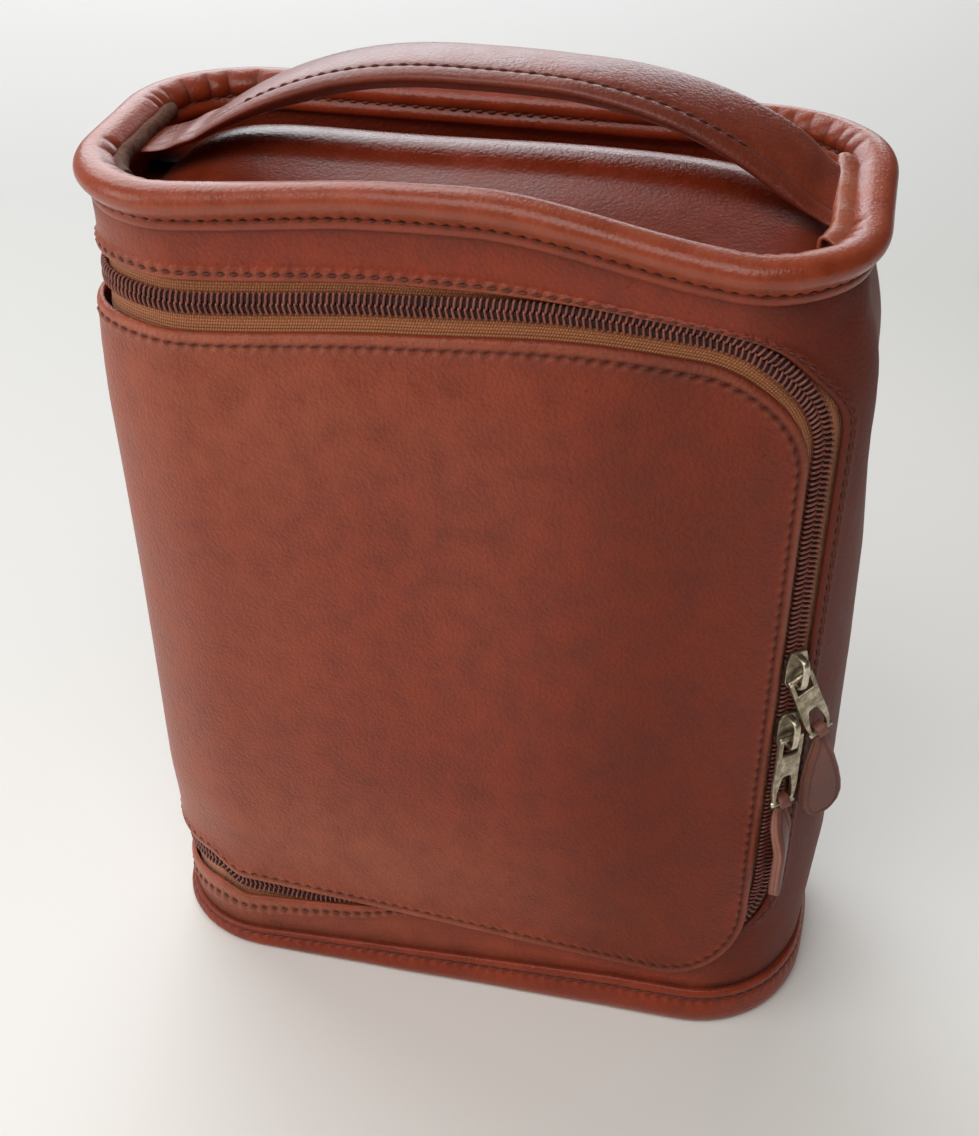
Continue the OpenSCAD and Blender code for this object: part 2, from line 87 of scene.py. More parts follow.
def blend_colours(tree, share, a, b, mode="MIX"):
    node = put(tree, "ShaderNodeMix", {"Factor": share}, data_type="RGBA", blend_type=mode)
    for socket, value in ((node.inputs[6], a), (node.inputs[7], b)):
        if isinstance(value, bpy.types.NodeSocket):
            tree.links.new(value, socket)
        else:
            socket.default_value = value
    return node.outputs[2]


def scaled(tree, vector, factor):
    return put(tree, "ShaderNodeVectorMath", {0: vector, "Scale": factor}, operation="SCALE").outputs[0]


def noise(tree, place, scale, detail, roughness=0.5):
    return put(tree, "ShaderNodeTexNoise", {"Vector": place, "Scale": scale, "Detail": detail,
                                            "Roughness": roughness}).outputs["Fac"]


def spread(tree, value, low, high, to_low=0.0, to_high=1.0):
    return put(tree, "ShaderNodeMapRange",
               {"Value": value, "From Min": low, "From Max": high, "To Min": to_low,
                "To Max": to_high}).outputs["Result"]


def start_material(name):
    material = bpy.data.materials.new(name)
    material.use_nodes = True
    tree = material.node_tree
    return material, tree, tree.nodes["Principled BSDF"]


# %% [markdown]
# ## Camera, lamps and floor
#
# A camera that was fitted to the bag's straight edges stands above the front right corner. The
# light is that of a room: a broad window behind and to the left of the bag, which puts the pale
# sheen on everything that faces up, and weak light from the other sides. Plain area lamps do that,
# and they are large, because a small lamp would draw hard shadows that a window doesn't.

# %% Camera, lamps and floor
scene = bpy.context.scene
scene.view_settings.view_transform = "Standard"
CAMERA_PLACE = Vector((0.0769, -0.3495, 0.3809))
CAMERA_TARGET = Vector((-0.00198, 0.0, 0.12446))
CAMERA_LENS, SENSOR_WIDTH = 49.72, 36


def aim(thing, target):
    direction = Vector(target) - thing.location
    thing.rotation_euler = direction.to_track_quat("-Z", "Y").to_euler()


def add_camera():
    data = bpy.data.cameras.new("camera")
    data.lens, data.sensor_width = CAMERA_LENS, SENSOR_WIDTH
    data.clip_start = 0.01
    camera = bpy.data.objects.new("camera", data)
    scene.collection.objects.link(camera)
    camera.location = CAMERA_PLACE
    aim(camera, CAMERA_TARGET)
    scene.camera = camera


def add_lamp(name, place, target, size, watts, colour):
    data = bpy.data.lights.new(name, "AREA")
    data.shape = "RECTANGLE"
    data.size, data.size_y = size
    data.energy = watts
    data.color = colour
    lamp = bpy.data.objects.new(name, data)
    scene.collection.objects.link(lamp)
    lamp.location = place
    aim(lamp, target)


def add_world():
    """A room that is bright on the left and dim on the right."""
    world = bpy.data.worlds.new("room")
    scene.world = world
    world.use_nodes = True
    tree = world.node_tree
    background = tree.nodes["Background"]
    background.inputs["Color"].default_value = (1.0, 0.985, 0.96, 1)
    direction = put(tree, "ShaderNodeTexCoord").outputs["Generated"]
    to_the_right = put(tree, "ShaderNodeSeparateXYZ", {0: direction}).outputs["X"]
    tree.links.new(spread(tree, to_the_right, -0.6, 0.6, 0.32, 0.05), background.inputs["Strength"])


def add_floor():
    """A pale floor that is a little darker behind the bag, where less light reaches it."""
    reach = 3.0
    mesh = bpy.data.meshes.new("floor")
    mesh.from_pydata([(-reach, -reach, 0), (reach, -reach, 0), (reach, reach, 0), (-reach, reach, 0)],
                     [], [(0, 1, 2, 3)])
    floor = bpy.data.objects.new("floor", mesh)
    scene.collection.objects.link(floor)
    floor.location.z = -0.0002
    material, tree, shader = start_material("pale_floor")
    place = put(tree, "ShaderNodeTexCoord").outputs["Object"]
    to_the_back = put(tree, "ShaderNodeSeparateXYZ", {0: place}).outputs["Y"]
    paleness = spread(tree, to_the_back, -0.25, 0.5, 0.92, 0.60)
    tree.links.new(scaled(tree, (1.0, 0.985, 0.95), paleness), shader.inputs["Base Color"])
    shader.inputs["Roughness"].default_value = 0.75
    mesh.materials.append(material)


add_camera()
add_world()
add_floor()
add_lamp("window", (-0.9, 1.1, 1.5), (0, 0, 0.15), (1.6, 1.2), 19, (0.95, 0.98, 1.0))
add_lamp("window_low", (-0.40, 1.5, 0.68), (0, 0, 0.22), (1.7, 0.7), 11, (0.91, 0.95, 1.0))
add_lamp("room_left", (-1.5, -0.75, 0.8), (0, 0, 0.12), (0.9, 0.9), 8.5, (1.0, 0.97, 0.92))
add_lamp("ceiling", (-0.05, -1.1, 1.8), (0.0, -0.5, 0.0), (1.6, 1.2), 21, (1.0, 0.98, 0.95))
print("camera at", tuple(scene.camera.location))

# %% [markdown]
# ## The bag's walls as one unrolled sheet
#
# A leather bag is cut flat and bent round, so its walls are easiest to describe unrolled. A point
# is named by how far along the wall it is, from the hinge line on the left side past the front, and
# by its height. One function bends that sheet round the bag's outline, so the leather, the zip and
# the stitches all follow the same surface and can't drift apart.

# %% The outline and the unrolled sheet
BODY_W, BODY_D, CORNER_R = 190.0, 83.0, 30.0
RIM_HEIGHT = 246.0
NECK_IN = 1.5
HINGE_Y = 4.0
ARC_X, ARC_Y = BODY_W / 2 - CORNER_R, BODY_D / 2 - CORNER_R
BEND = math.pi / 2 * CORNER_R
NEAR_SIDE = HINGE_Y + ARC_Y
LOOP = 4 * (ARC_X + ARC_Y) + 4 * BEND
FRONT_MIDDLE = NEAR_SIDE + BEND + ARC_X


def unit(vectors):
    return vectors / np.linalg.norm(vectors, axis=-1, keepdims=True)


def distance_along(path):
    """How far along a path each of its points lies."""
    return np.concatenate([[0], np.cumsum(np.linalg.norm(np.diff(path, axis=0), axis=1))])


def ease(v, start, end):
    t = np.clip((np.asarray(v, float) - start) / (end - start), 0, 1)
    return t * t * (3 - 2 * t)


def unrolled_outline(step=0.25, soften=9.0):
    """x, y and heading along the walls, with the bends' starts softened as leather softens them."""
    marks = np.cumsum([0, NEAR_SIDE, BEND, 2 * ARC_X, BEND, 2 * ARC_Y, BEND, 2 * ARC_X, BEND,
                       2 * ARC_Y - NEAR_SIDE])
    turns = np.radians([-90, -90, 0, 0, 90, 90, 180, 180, 270, 270])
    s = np.arange(0, LOOP, step)
    heading = np.interp(s, marks, turns)
    extra = heading - TAU * s / LOOP
    width = int(soften / step) | 1
    kernel = np.hanning(width + 2)[1:-1]
    kernel /= kernel.sum()
    padded = np.concatenate([extra[-width:], extra, extra[:width]])
    heading = np.convolve(padded, kernel, "same")[width:-width] + TAU * s / LOOP
    x, y = np.cumsum(np.cos(heading)) * step, np.cumsum(np.sin(heading)) * step
    x -= np.linspace(0, x[-1], len(x))
    y -= np.linspace(0, y[-1], len(y))
    x *= BODY_W / (x.max() - x.min())
    y *= BODY_D / (y.max() - y.min())
    x -= (x.max() + x.min()) / 2
    y -= (y.max() + y.min()) / 2
    return s, x, y, heading


OUT_S, OUT_X, OUT_Y, OUT_HEADING = unrolled_outline()


def plan(s):
    """Place and outward direction on the outline at s millimetres from the hinge line."""
    wrapped = np.mod(s, LOOP)
    x = np.interp(wrapped, OUT_S, OUT_X, period=LOOP)
    y = np.interp(wrapped, OUT_S, OUT_Y, period=LOOP)
    turn = np.interp(wrapped, np.append(OUT_S, LOOP), np.append(OUT_HEADING, OUT_HEADING[0] + TAU))
    return x, y, np.sin(turn), -np.cos(turn)


def all_round(steps):
    """Evenly spaced places along the walls, once round."""
    return np.arange(steps) / steps * LOOP


def neck(z):
    """How far the walls draw in towards the rim."""
    return NECK_IN * ease(z, RIM_HEIGHT - 51, RIM_HEIGHT - 21)


def swelling(x, y, z):
    """How far the right side swells out: low down, where the bag's contents sit."""
    near = np.where(x > ARC_X, np.clip(1 - np.abs(y) / (ARC_Y + CORNER_R / 2), 0, 1), 0)
    marks = [0, 15, 50, 81, 117, 150, 190, 214, 223, 246]
    push = np.interp(z, marks, [0.8, 2.4, 4.8, 4.5, 3.9, 2.7, -0.8, -1.3, -2.3, 0])
    return push * (1 - np.cos(math.pi * near)) / 2


def top_lean(x, z):
    """The soft top leans to the left, most of all at the right end of the rim."""
    return -(3.4 + 1.6 * np.clip(x / 95, -1, 1)) * ease(z, 205, 240)


def rim_wave(x, y):
    """How far the rim rises or sinks: it droops at the right end of the front."""
    front = 1.2 * bump_at(x, 5, 35) - 8.5 * ease(x, 5, 75) - 4 * ease(-x, 15, 75)
    return front + (-3 - front) * ease(y, -25, 25)


def bump_at(v, middle, width):
    return np.exp(-(((np.asarray(v, float) - middle) / width) ** 2))


def lift(s, z):
    """How far the seams wander up or down from their straight lines: a hand-sewn bag's do."""
    u = np.clip(s - FRONT_MIDDLE, -110, 110)
    binding = np.clip(0.055 * u + 0.4, -4.0, 2.8)
    low_edge = np.clip(1.4 - 0.078 * u, -3.4, 6.4) + 5.5 * ease(-u, 68, 80)
    high_edge = 0.4 - 4.0 * ease(-u, 15, 75) + 3.2 * bump_at(u, 28, 38)
    crest = rim_wave(*plan(s)[:2])
    front = ease(np.abs(s - FRONT_MIDDLE), 150, 118)
    knots = [(0, 0 * u), (10, binding * front), (22, low_edge * front), (95, 0 * u),
             (150, 0 * u), (218, high_edge * front), (236, 0.8 * crest), (250, crest)]
    total = np.zeros(np.broadcast(u, z).shape)
    for (z0, a), (z1, b) in zip(knots[:-1], knots[1:]):
        inside = (z >= z0) & (z < z1) if z1 < 250 else z >= z0
        t = ease(z, z0, z1)
        total = np.where(inside, a + (b - a) * t, total)
    return total


def drape(s, z):
    """Soft hollows and swells of the leather, in millimetres outwards."""
    u = s - FRONT_MIDDLE
    mid = np.sin(np.clip(z / RIM_HEIGHT, 0, 1) * math.pi)
    wave = 0.35 * np.sin(u / 31 + z / 57) + 0.25 * np.sin(u / 17 - z / 41 + 1.3)
    left_hollow = -1.3 * bump_at(u, -84, 14) * mid
    fullness = np.interp(z, [0, 10, 40, 110, 180, 210, 235], [0, 0.8, 1.0, 1.8, 2.4, 2.9, 1.2])
    left_corner = fullness * bump_at(s, 31, 15)
    low_swell = 0.8 * bump_at(u, -60, 30) * bump_at(z, 70, 45)
    neck_folds = 0.5 * np.sin(u / 3.1) * bump_at(u, 92, 16) * bump_at(z, 231, 7)
    # the sliders run straight, so the leather beside them doesn't wave
    wave = wave * (1 - bump_at(u, 85.6, 10) * ease(z, 46, 62) * ease(z, 210, 190))
    return wave * mid + left_hollow + left_corner + low_swell + neck_folds


def skin(s, z, out=0.0):
    """The unrolled point (s, z), laid on the bag and moved out by the given amount."""
    s, z = np.broadcast_arrays(np.asarray(s, float), np.asarray(z, float))
    x, y, nx, ny = plan(s)
    height = z + lift(s, z)
    off = out + drape(s, z) - neck(height)
    x, y = x + nx * off, y + ny * off
    return np.stack([x + swelling(x, y, height) + top_lean(x, height), y, height], axis=-1)


def skin_normal(s, z):
    """The direction that the leather faces at (s, z)."""
    along = skin(s + 0.5, z) - skin(s - 0.5, z)
    up = skin(s, z + 0.5) - skin(s, z - 0.5)
    return unit(np.cross(along, up))


def s_at_front_x(x):
    """How far along the walls the front is at x, on the front or on its right corner."""
    angle = np.arcsin(np.clip((np.asarray(x, float) - ARC_X) / CORNER_R, 0, 1))
    return FRONT_MIDDLE + np.minimum(x, ARC_X) + CORNER_R * angle


print("walls:", round(LOOP), "mm round")

# %% [markdown]
# ## The opening's outline
#
# The flap, the zip tapes, both coil rows and four rows of stitches all run round the same opening.
# Its outline is a rectangle with two rounded corners on the right and open ends at the hinge, and
# one number says how far a line lies from the opening's edge towards the flap's.

# %% Lines round the opening
OPENING_LOW, OPENING_HIGH = 14.0, 228.0
OPENING_RIGHT, OPENING_R = 87.5, 32.0
ZIP_LOW, ZIP_SIDE, ZIP_HIGH = 8.0, 7.0, 13.0


def opening_line(share, inset=0.0, step=0.84, start=0.0):
    """Points (s, z) round the opening, from the low end at the hinge to the high end.

    share 0 is the opening's own edge and 1 the flap's; inset moves the line on, towards the flap.
    """
    right = OPENING_RIGHT - ZIP_SIDE * share - inset * ZIP_SIDE / 9.2
    low = OPENING_LOW + ZIP_LOW * share + inset
    high = OPENING_HIGH - ZIP_HIGH * share - inset
    radius = max(OPENING_R - ZIP_SIDE * share - inset * 0.85, 6)
    turn = np.linspace(0, math.pi / 2, 60)
    low_x, low_z = right - radius + radius * np.sin(turn), low + radius - radius * np.cos(turn)
    high_x, high_z = right - radius + radius * np.cos(turn), high - radius + radius * np.sin(turn)
    s = np.concatenate([[start], s_at_front_x(low_x), s_at_front_x(high_x), [start]])
    z = np.concatenate([[low], low_z, high_z, [high]])
    line = np.stack([s, z], axis=-1)
    return resample(line, count=int(620 / step))


def frame_along(path):
    """Unit tangents of a path."""
    return unit(np.gradient(path, axis=0))


def moved_in(line, amount):
    """The line with each point moved towards the flap."""
    run = frame_along(line)
    return line + np.column_stack([-run[:, 1], run[:, 0]]) * amount[:, None]


def lip_wander(line):
    """How far the full bag has pushed its lip over the zip: below and at the top right."""
    u, z = line[:, 0] - FRONT_MIDDLE, line[:, 1]
    low = np.interp(u, [-160, -125, -90, -65, -50, -36, -29, -20, -10, 0, 10],
                    [0.0, 1.2, 2.2, 3.3, 4.3, 5.7, 6.9, 8.8, 10.6, 12.0, 12.6])
    high = np.interp(u, [-160, -120, -75, -10, 45, 80], [0.0, 0.2, 0.9, 1.2, 3.0, 2.4])
    return low * (1 - ease(z, 26, 56)), high * ease(z, 200, 216)


def tucked_in(line):
    """0 where the lip can be seen below the flap and 1 where the flap covers it."""
    return ease(lip_wander(line)[0], 6.0, 9.0)


def seam_line(share, inset=0.0, start=0.0, step=0.56):
    """A line round the opening that follows the lip where it has wandered."""
    line = opening_line(share, inset, step, start)
    if share:
        return line
    return moved_in(line, sum(lip_wander(line)) * (1 - float(ease(abs(inset), 5.2, 9.5))))


def chain_line(share, start, step):
    """A line along the zip, which goes where the lip takes it, but not as far."""
    line = opening_line(share, 0.0, step, start)
    u = line[:, 0] - FRONT_MIDDLE
    low = lip_wander(line)[0] * (0.5 + 0.5 * ease(u, -50, -26))
    return moved_in(line, np.minimum(low, 7.5))


def resample(line, count):
    """The same line with evenly spaced points."""
    at = distance_along(line)
    wanted = np.linspace(0, at[-1], count)
    return np.stack([np.interp(wanted, at, line[:, k]) for k in range(line.shape[1])], axis=-1)


def smooth_line(points, per_span):
    """A Catmull-Rom curve through the given points."""
    p = np.asarray(points, float)
    p = np.vstack([2 * p[0] - p[1], p, 2 * p[-1] - p[-2]])
    rows = []
    for k in range(1, len(p) - 2):
        for t in np.linspace(0, 1, per_span, endpoint=False):
            a, b, c, d = p[k - 1:k + 3]
            rows.append(0.5 * (2 * b + (c - a) * t + (2 * a - 5 * b + 4 * c - d) * t * t
                               + (3 * b - a - 3 * c + d) * t ** 3))
    rows.append(p[-2])
    return np.array(rows)


print("opening:", len(opening_line(0)), "points round")

# %% [markdown]
# ## From points to pieces
#
# Every piece is a mesh made in code. Bands and tubes are grids of four-sided faces. The large
# sheets have a fine band along their edges, where the turned edge and the stitches need detail, and
# a coarse net inside, and a Delaunay triangulation joins the two without gaps.

# %% Helpers that make pieces


def grid_faces(rows, cols, close_rows=False, close_cols=False):
    r = np.arange(rows if close_rows else rows - 1)
    c = np.arange(cols if close_cols else cols - 1)
    r, c = np.meshgrid(r, c, indexing="ij")
    r, c = r.ravel(), c.ravel()
    r1, c1 = (r + 1) % rows, (c + 1) % cols
    return np.stack([r * cols + c, r * cols + c1, r1 * cols + c1, r1 * cols + c], axis=-1).tolist()


def add_piece(name, points, faces, material, body=None, replaces=(), slot=None, masks=None,
              uv=None, flip=False, thickness=0.0, offset=-1.0):
    """Makes a mesh from points in millimetres and puts it on its body.

    A sheet gets its thickness on its inner side, or on its outer side where the offset is 1.
    masks gives seams with painted shade and wear with painted sheen: per point, per grid column, or for
    all.
    """
    mesh = bpy.data.meshes.new(name)
    points = np.asarray(points, float)
    if flip:
        faces = [f[::-1] for f in faces]
    mesh.from_pydata((points.reshape(-1, 3) * MM).tolist(), [], faces)
    mesh.polygons.foreach_set("use_smooth", [True] * len(mesh.polygons))
    for kind, values in (masks or {}).items():
        values = np.broadcast_to(np.asarray(values, np.float32), points.shape[:-1])
        mesh.attributes.new(kind, "FLOAT", "POINT").data.foreach_set("value", values.ravel())
    if uv is not None:
        corner = np.zeros(len(mesh.loops), np.int32)
        mesh.loops.foreach_get("vertex_index", corner)
        layer = mesh.uv_layers.new(name="along_across")
        layer.data.foreach_set("uv", (np.asarray(uv, float).reshape(-1, 2)[corner] * MM).ravel())
    mesh.update()
    piece = bpy.data.objects.new(name, mesh)
    scene.collection.objects.link(piece)
    mesh.materials.append(material)
    if body:
        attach(piece, body)
    if replaces:
        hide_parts(*replaces)
    if thickness:
        solid = piece.modifiers.new("thickness", "SOLIDIFY")
        solid.thickness = thickness * MM
        solid.offset = offset
        solid.use_even_offset = True
    return piece


def inside_outline(points, outline):
    """Which points lie inside a closed outline."""
    x, z = points[:, 0][:, None], points[:, 1][:, None]
    a, b = outline, np.roll(outline, -1, axis=0)
    crosses = (a[:, 1] > z) != (b[:, 1] > z)
    with np.errstate(divide="ignore", invalid="ignore"):
        at = a[:, 0] + (z - a[:, 1]) * (b[:, 0] - a[:, 0]) / (b[:, 1] - a[:, 1])
    return (np.sum(crosses & (x < at), axis=1) % 2) == 1


def net(points, edges, keep):
    """Triangles between points, along the given edges, whose middles pass the keep test."""
    flat = [Vector((float(p[0]), float(p[1]))) for p in points]
    made = geometry.delaunay_2d_cdt(flat, edges, [], 0, 1e-5)
    verts = np.array([tuple(v) for v in made[0]])
    faces = np.array(made[2])
    kept = faces[keep(verts[faces].mean(axis=1))]
    return verts, kept.tolist()


def capped_faces(rows, cols):
    """The faces of a tube of rings, with a face over each of its two ends."""
    ends = [list(range(cols))[::-1], [(rows - 1) * cols + k for k in range(cols)]]
    return grid_faces(rows, cols, close_cols=True) + ends


def tube(path, across, up, radius_across, radius_up, sides=8, taper=None):
    """A closed tube with an elliptic section; across and up are directions, fixed or for each point."""
    size = np.ones(len(path)) if taper is None else np.asarray(taper, float)
    across, up = (np.broadcast_to(way, path.shape) for way in (across, up))
    turn = np.arange(sides) / sides * TAU
    ring = (np.cos(turn)[None, :, None] * across[:, None, :] * radius_across
            + np.sin(turn)[None, :, None] * up[:, None, :] * radius_up)
    points = (path[:, None, :] + ring * size[:, None, None]).reshape(-1, 3)
    return points, capped_faces(len(path), sides)


def stack_pieces(parts):
    """Joins several (points, faces) pairs into one."""
    points, faces, base = [], [], 0
    for p, f in parts:
        points.append(p)
        faces += [[k + base for k in face] for face in f]
        base += len(p)
    return np.vstack(points), faces


# %% [markdown]
# ## Finishes
#
# The leather is a smooth, full-grain cowhide with a soft shine. Its colour isn't even: it is paler
# where edges rub it and darker along the seams, and broad zones of painted sheen and painted shade
# stand for the room's light. The same few effects serve several materials, so each is a node group
# with named inputs, and each material sets its own values. The sheets carry two masks, one for seams
# and painted shade and one for wear and painted sheen, that were measured from the shape or laid by
# place when they were made.

# %% Start a node group


def new_group(name, inputs):
    """A group with the given inputs that will give a colour, a roughness and a height."""
    group = bpy.data.node_groups.new(name, "ShaderNodeTree")
    for socket, kind, value in inputs:
        made = group.interface.new_socket(socket, in_out="INPUT", socket_type="NodeSocket" + kind)
        made.default_value = value
    for socket, kind in (("Colour", "Color"), ("Roughness", "Float"), ("Height", "Float")):
        group.interface.new_socket(socket, in_out="OUTPUT", socket_type="NodeSocket" + kind)
    start = group.nodes.new("NodeGroupInput")
    end = group.nodes.new("NodeGroupOutput")
    return group, start.outputs, end.inputs


def give(group, out, colour, roughness, height):
    """Links what a group gives to its outputs."""
    for socket, value in (("Colour", colour), ("Roughness", roughness), ("Height", height)):
        group.links.new(value, out[socket])
    return group


# %% [markdown]
# ### Leather
#
# Grain is the main thing that says leather: pebbles well under a millimetre, from smooth Voronoi
# cells, with finer pores and shallow creases on top. A picture of real leather would be quicker but
# would repeat, and it can't follow the seams. The group gives a colour, a roughness and a height.

# %% The leather group


def leather_group():
    group, given, out = new_group(
        "leather_surface",
        [("Light", "Color", (0.3, 0.08, 0.04, 1)), ("Dark", "Color", (0.2, 0.05, 0.02, 1)),
         ("Worn", "Color", (0.45, 0.2, 0.13, 1)), ("Seam", "Float", 0.0), ("Wear_and_sheen", "Float", 0.0),
         ("Pebbles", "Float", 1250.0), ("Depth", "Float", 1.0), ("Gloss", "Float", 0.4)])
    place = put(group, "ShaderNodeTexCoord").outputs["Object"]
    clouds = noise(group, place, 16.0, 3.0, 0.55)
    mottle = noise(group, place, 130.0, 6.0, 0.62)
    cells = put(group, "ShaderNodeTexVoronoi",
                {"Vector": place, "Scale": given["Pebbles"], "Smoothness": 0.6, "Randomness": 0.95},
                feature="SMOOTH_F1").outputs["Distance"]
    pores = noise(group, place, 2400.0, 2.0, 0.6)
    creases = put(group, "ShaderNodeTexVoronoi",
                  {"Vector": put(group, "ShaderNodeMapping",
                                 {"Vector": place, "Scale": (1.0, 1.0, 0.55)}).outputs[0],
                   "Scale": 640.0, "Randomness": 1.0}, feature="DISTANCE_TO_EDGE").outputs[0]
    colour = blend_colours(group, spread(group, clouds, 0.3, 0.7), given["Dark"], given["Light"])
    speck = spread(group, mottle, 0.3, 0.7, 0.84, 1.14)
    grain_tone = spread(group, cells, 0.15, 0.75, 1.05, 0.9)
    tone = calc(group, "MULTIPLY", speck, grain_tone)
    colour = scaled(group, colour, tone)
    # the worn colour lays real wear and also broad painted sheen, as the mask asks
    pale_share = calc(group, "MULTIPLY", given["Wear_and_sheen"], spread(group, mottle, 0.25, 0.6, 0.45, 1.0), True)
    colour = blend_colours(group, pale_share, colour, given["Worn"])
    # darker along seams, and painted shade wherever the mask lays it
    shade = calc(group, "SUBTRACT", 1.0, calc(group, "MULTIPLY", given["Seam"], 0.55), True)
    colour = scaled(group, colour, shade)
    rough = calc(group, "ADD", given["Gloss"], spread(group, mottle, 0.3, 0.7, -0.05, 0.07))
    rough = calc(group, "ADD", rough, calc(group, "MULTIPLY", given["Seam"], 0.4))
    pebble = calc(group, "MULTIPLY", cells, -0.00009)
    pore = calc(group, "MULTIPLY", pores, 0.00003)
    crease = spread(group, creases, 0.0, 0.09, -0.000018, 0.0)
    swell = calc(group, "MULTIPLY", mottle, 0.00013)
    height = calc(group, "ADD", calc(group, "ADD", pebble, pore), calc(group, "ADD", crease, swell))
    return give(group, out, colour, rough, calc(group, "MULTIPLY", height, given["Depth"]))


LEATHER = leather_group()


def mask(tree, name):
    return put(tree, "ShaderNodeAttribute", attribute_name=name).outputs["Fac"]


def surface(tree, shader, made):
    """Links a group's colour, roughness and height to the shader."""
    tree.links.new(made.outputs["Colour"], shader.inputs["Base Color"])
    tree.links.new(made.outputs["Roughness"], shader.inputs["Roughness"])
    bump = put(tree, "ShaderNodeBump", {"Height": made.outputs["Height"], "Strength": 1.0,
                                        "Distance": 1.0})
    tree.links.new(bump.outputs[0], shader.inputs["Normal"])


def placed_group(tree, group, **values):
    """A material's own copy of a node group, with its inputs set."""
    made = put(tree, "ShaderNodeGroup", {}, node_tree=group)
    for socket, value in values.items():
        made.inputs[socket].default_value = (*value, 1) if isinstance(value, tuple) else value
    return made


def leather(name, light, dark, worn, pebbles=1050.0, depth=1.0, gloss=0.38, specular=0.36):
    material, tree, shader = start_material(name)
    made = placed_group(tree, LEATHER, Light=light, Dark=dark, Worn=worn, Pebbles=pebbles,
                        Depth=depth, Gloss=gloss)
    tree.links.new(mask(tree, "seam"), made.inputs["Seam"])
    tree.links.new(mask(tree, "wear_and_sheen"), made.inputs["Wear_and_sheen"])
    surface(tree, shader, made)
    shader.inputs["Specular IOR Level"].default_value = specular
    shader.inputs["Sheen Weight"].default_value = 0.03
    shader.inputs["Sheen Roughness"].default_value = 0.4
    shader.inputs["Sheen Tint"].default_value = (1.0, 0.86, 0.8, 1)
    return material


# the worn colour serves both for real wear and for painted sheen
RUSSET, RUSSET_DARK, RUSSET_WORN_AND_SHEEN = (0.265, 0.031, 0.006), (0.21, 0.023, 0.005), (0.43, 0.13, 0.065)
body_leather = leather("body_leather", RUSSET, RUSSET_DARK, RUSSET_WORN_AND_SHEEN, depth=1.6)
flap_leather = leather("flap_leather", RUSSET, RUSSET_DARK, RUSSET_WORN_AND_SHEEN, depth=2.4)
# a little paler than the russet: painted light on the rim, which catches the window
smooth_leather = leather("smooth_leather", (0.30, 0.038, 0.008), (0.235, 0.028, 0.006), RUSSET_WORN_AND_SHEEN,
                         depth=0.8, gloss=0.30, specular=0.45)
top_leather = leather("top_leather", RUSSET, RUSSET_DARK, RUSSET_WORN_AND_SHEEN, depth=0.8, gloss=0.26,
                      specular=0.40)
handle_leather = leather("handle_leather", (0.25, 0.042, 0.018), (0.17, 0.028, 0.012),
                         (0.46, 0.18, 0.12), depth=0.9, gloss=0.30, specular=0.42)
tab_leather = leather("tab_leather", (0.22, 0.070, 0.047), (0.14, 0.042, 0.029),
                      (0.36, 0.17, 0.12), pebbles=1700.0, gloss=0.45)
print("leathers:", [m.name for m in (body_leather, flap_leather, handle_leather, tab_leather)])

# %% [markdown]
# ### Raw edges, thread and cloth
#
# A cut edge of leather is fibrous and dull, so it gets a coarse fuzzy noise. Thread is twisted, and
# a slanted wave gives the ply. The tape and the lining are woven: two rows of ribs cross, and where
# one rib is high the other is low.

# %% Fibre and weave groups


def fibre_group():
    group, given, out = new_group(
        "fibres", [("Light", "Color", (0.3, 0.15, 0.1, 1)), ("Dark", "Color", (0.1, 0.05, 0.03, 1)),
                   ("Size", "Float", 900.0), ("Depth", "Float", 0.0002)])
    place = put(group, "ShaderNodeTexCoord").outputs["Object"]
    fuzz = noise(group, place, given["Size"], 5.0, 0.7)
    colour = blend_colours(group, spread(group, fuzz, 0.35, 0.68), given["Dark"], given["Light"])
    rough = spread(group, fuzz, 0.2, 0.8, 0.95, 0.75)
    return give(group, out, colour, rough, calc(group, "MULTIPLY", fuzz, given["Depth"]))


def weave_group():
    group, given, out = new_group(
        "weave", [("Along", "Float", 0.0), ("Across", "Float", 0.0), ("Pitch", "Float", 0.0006),
                  ("Light", "Color", (0.3, 0.15, 0.1, 1)), ("Dark", "Color", (0.1, 0.05, 0.03, 1)),
                  ("Depth", "Float", 0.00012)])

    def ribs(value):
        turn = calc(group, "MULTIPLY", calc(group, "DIVIDE", value, given["Pitch"]), math.pi)
        return calc(group, "SINE", turn)

    a, b = ribs(given["Along"]), ribs(given["Across"])
    over = calc(group, "MULTIPLY", a, b)
    high = calc(group, "ABSOLUTE", over)
    side = spread(group, over, -1.0, 1.0, 0.82, 1.12)
    place = put(group, "ShaderNodeTexCoord").outputs["Object"]
    fuzz = noise(group, place, 1500.0, 3.0)
    share = calc(group, "MULTIPLY", calc(group, "MULTIPLY", high, side),
                 spread(group, fuzz, 0.3, 0.7, 0.7, 1.15), True)
    colour = blend_colours(group, share, given["Dark"], given["Light"])
    rough = spread(group, high, 0.0, 1.0, 0.9, 0.7)
    return give(group, out, colour, rough, calc(group, "MULTIPLY", high, given["Depth"]))


FIBRES = fibre_group()
WEAVE = weave_group()


def fibrous(name, light, dark, size=900.0, depth=0.0002):
    """A material of fine fibres, such as a cut edge or a thread."""
    material, tree, shader = start_material(name)
    surface(tree, shader, placed_group(tree, FIBRES, Light=light, Dark=dark, Size=size, Depth=depth))
    return material


def woven(name, light, dark, pitch, depth, from_sheet=True):
    """A weave that follows the sheet's own length and width, or the bag's own directions."""
    material, tree, shader = start_material(name)
    made = placed_group(tree, WEAVE, Light=light, Dark=dark, Pitch=pitch, Depth=depth)
    coordinates = put(tree, "ShaderNodeTexCoord").outputs["UV" if from_sheet else "Object"]
    parts = put(tree, "ShaderNodeSeparateXYZ", {0: coordinates}).outputs
    tree.links.new(parts["X"], made.inputs["Along"])
    tree.links.new(parts["Y" if from_sheet else "Z"], made.inputs["Across"])
    surface(tree, shader, made)
    shader.inputs["Sheen Weight"].default_value = 0.2
    return material


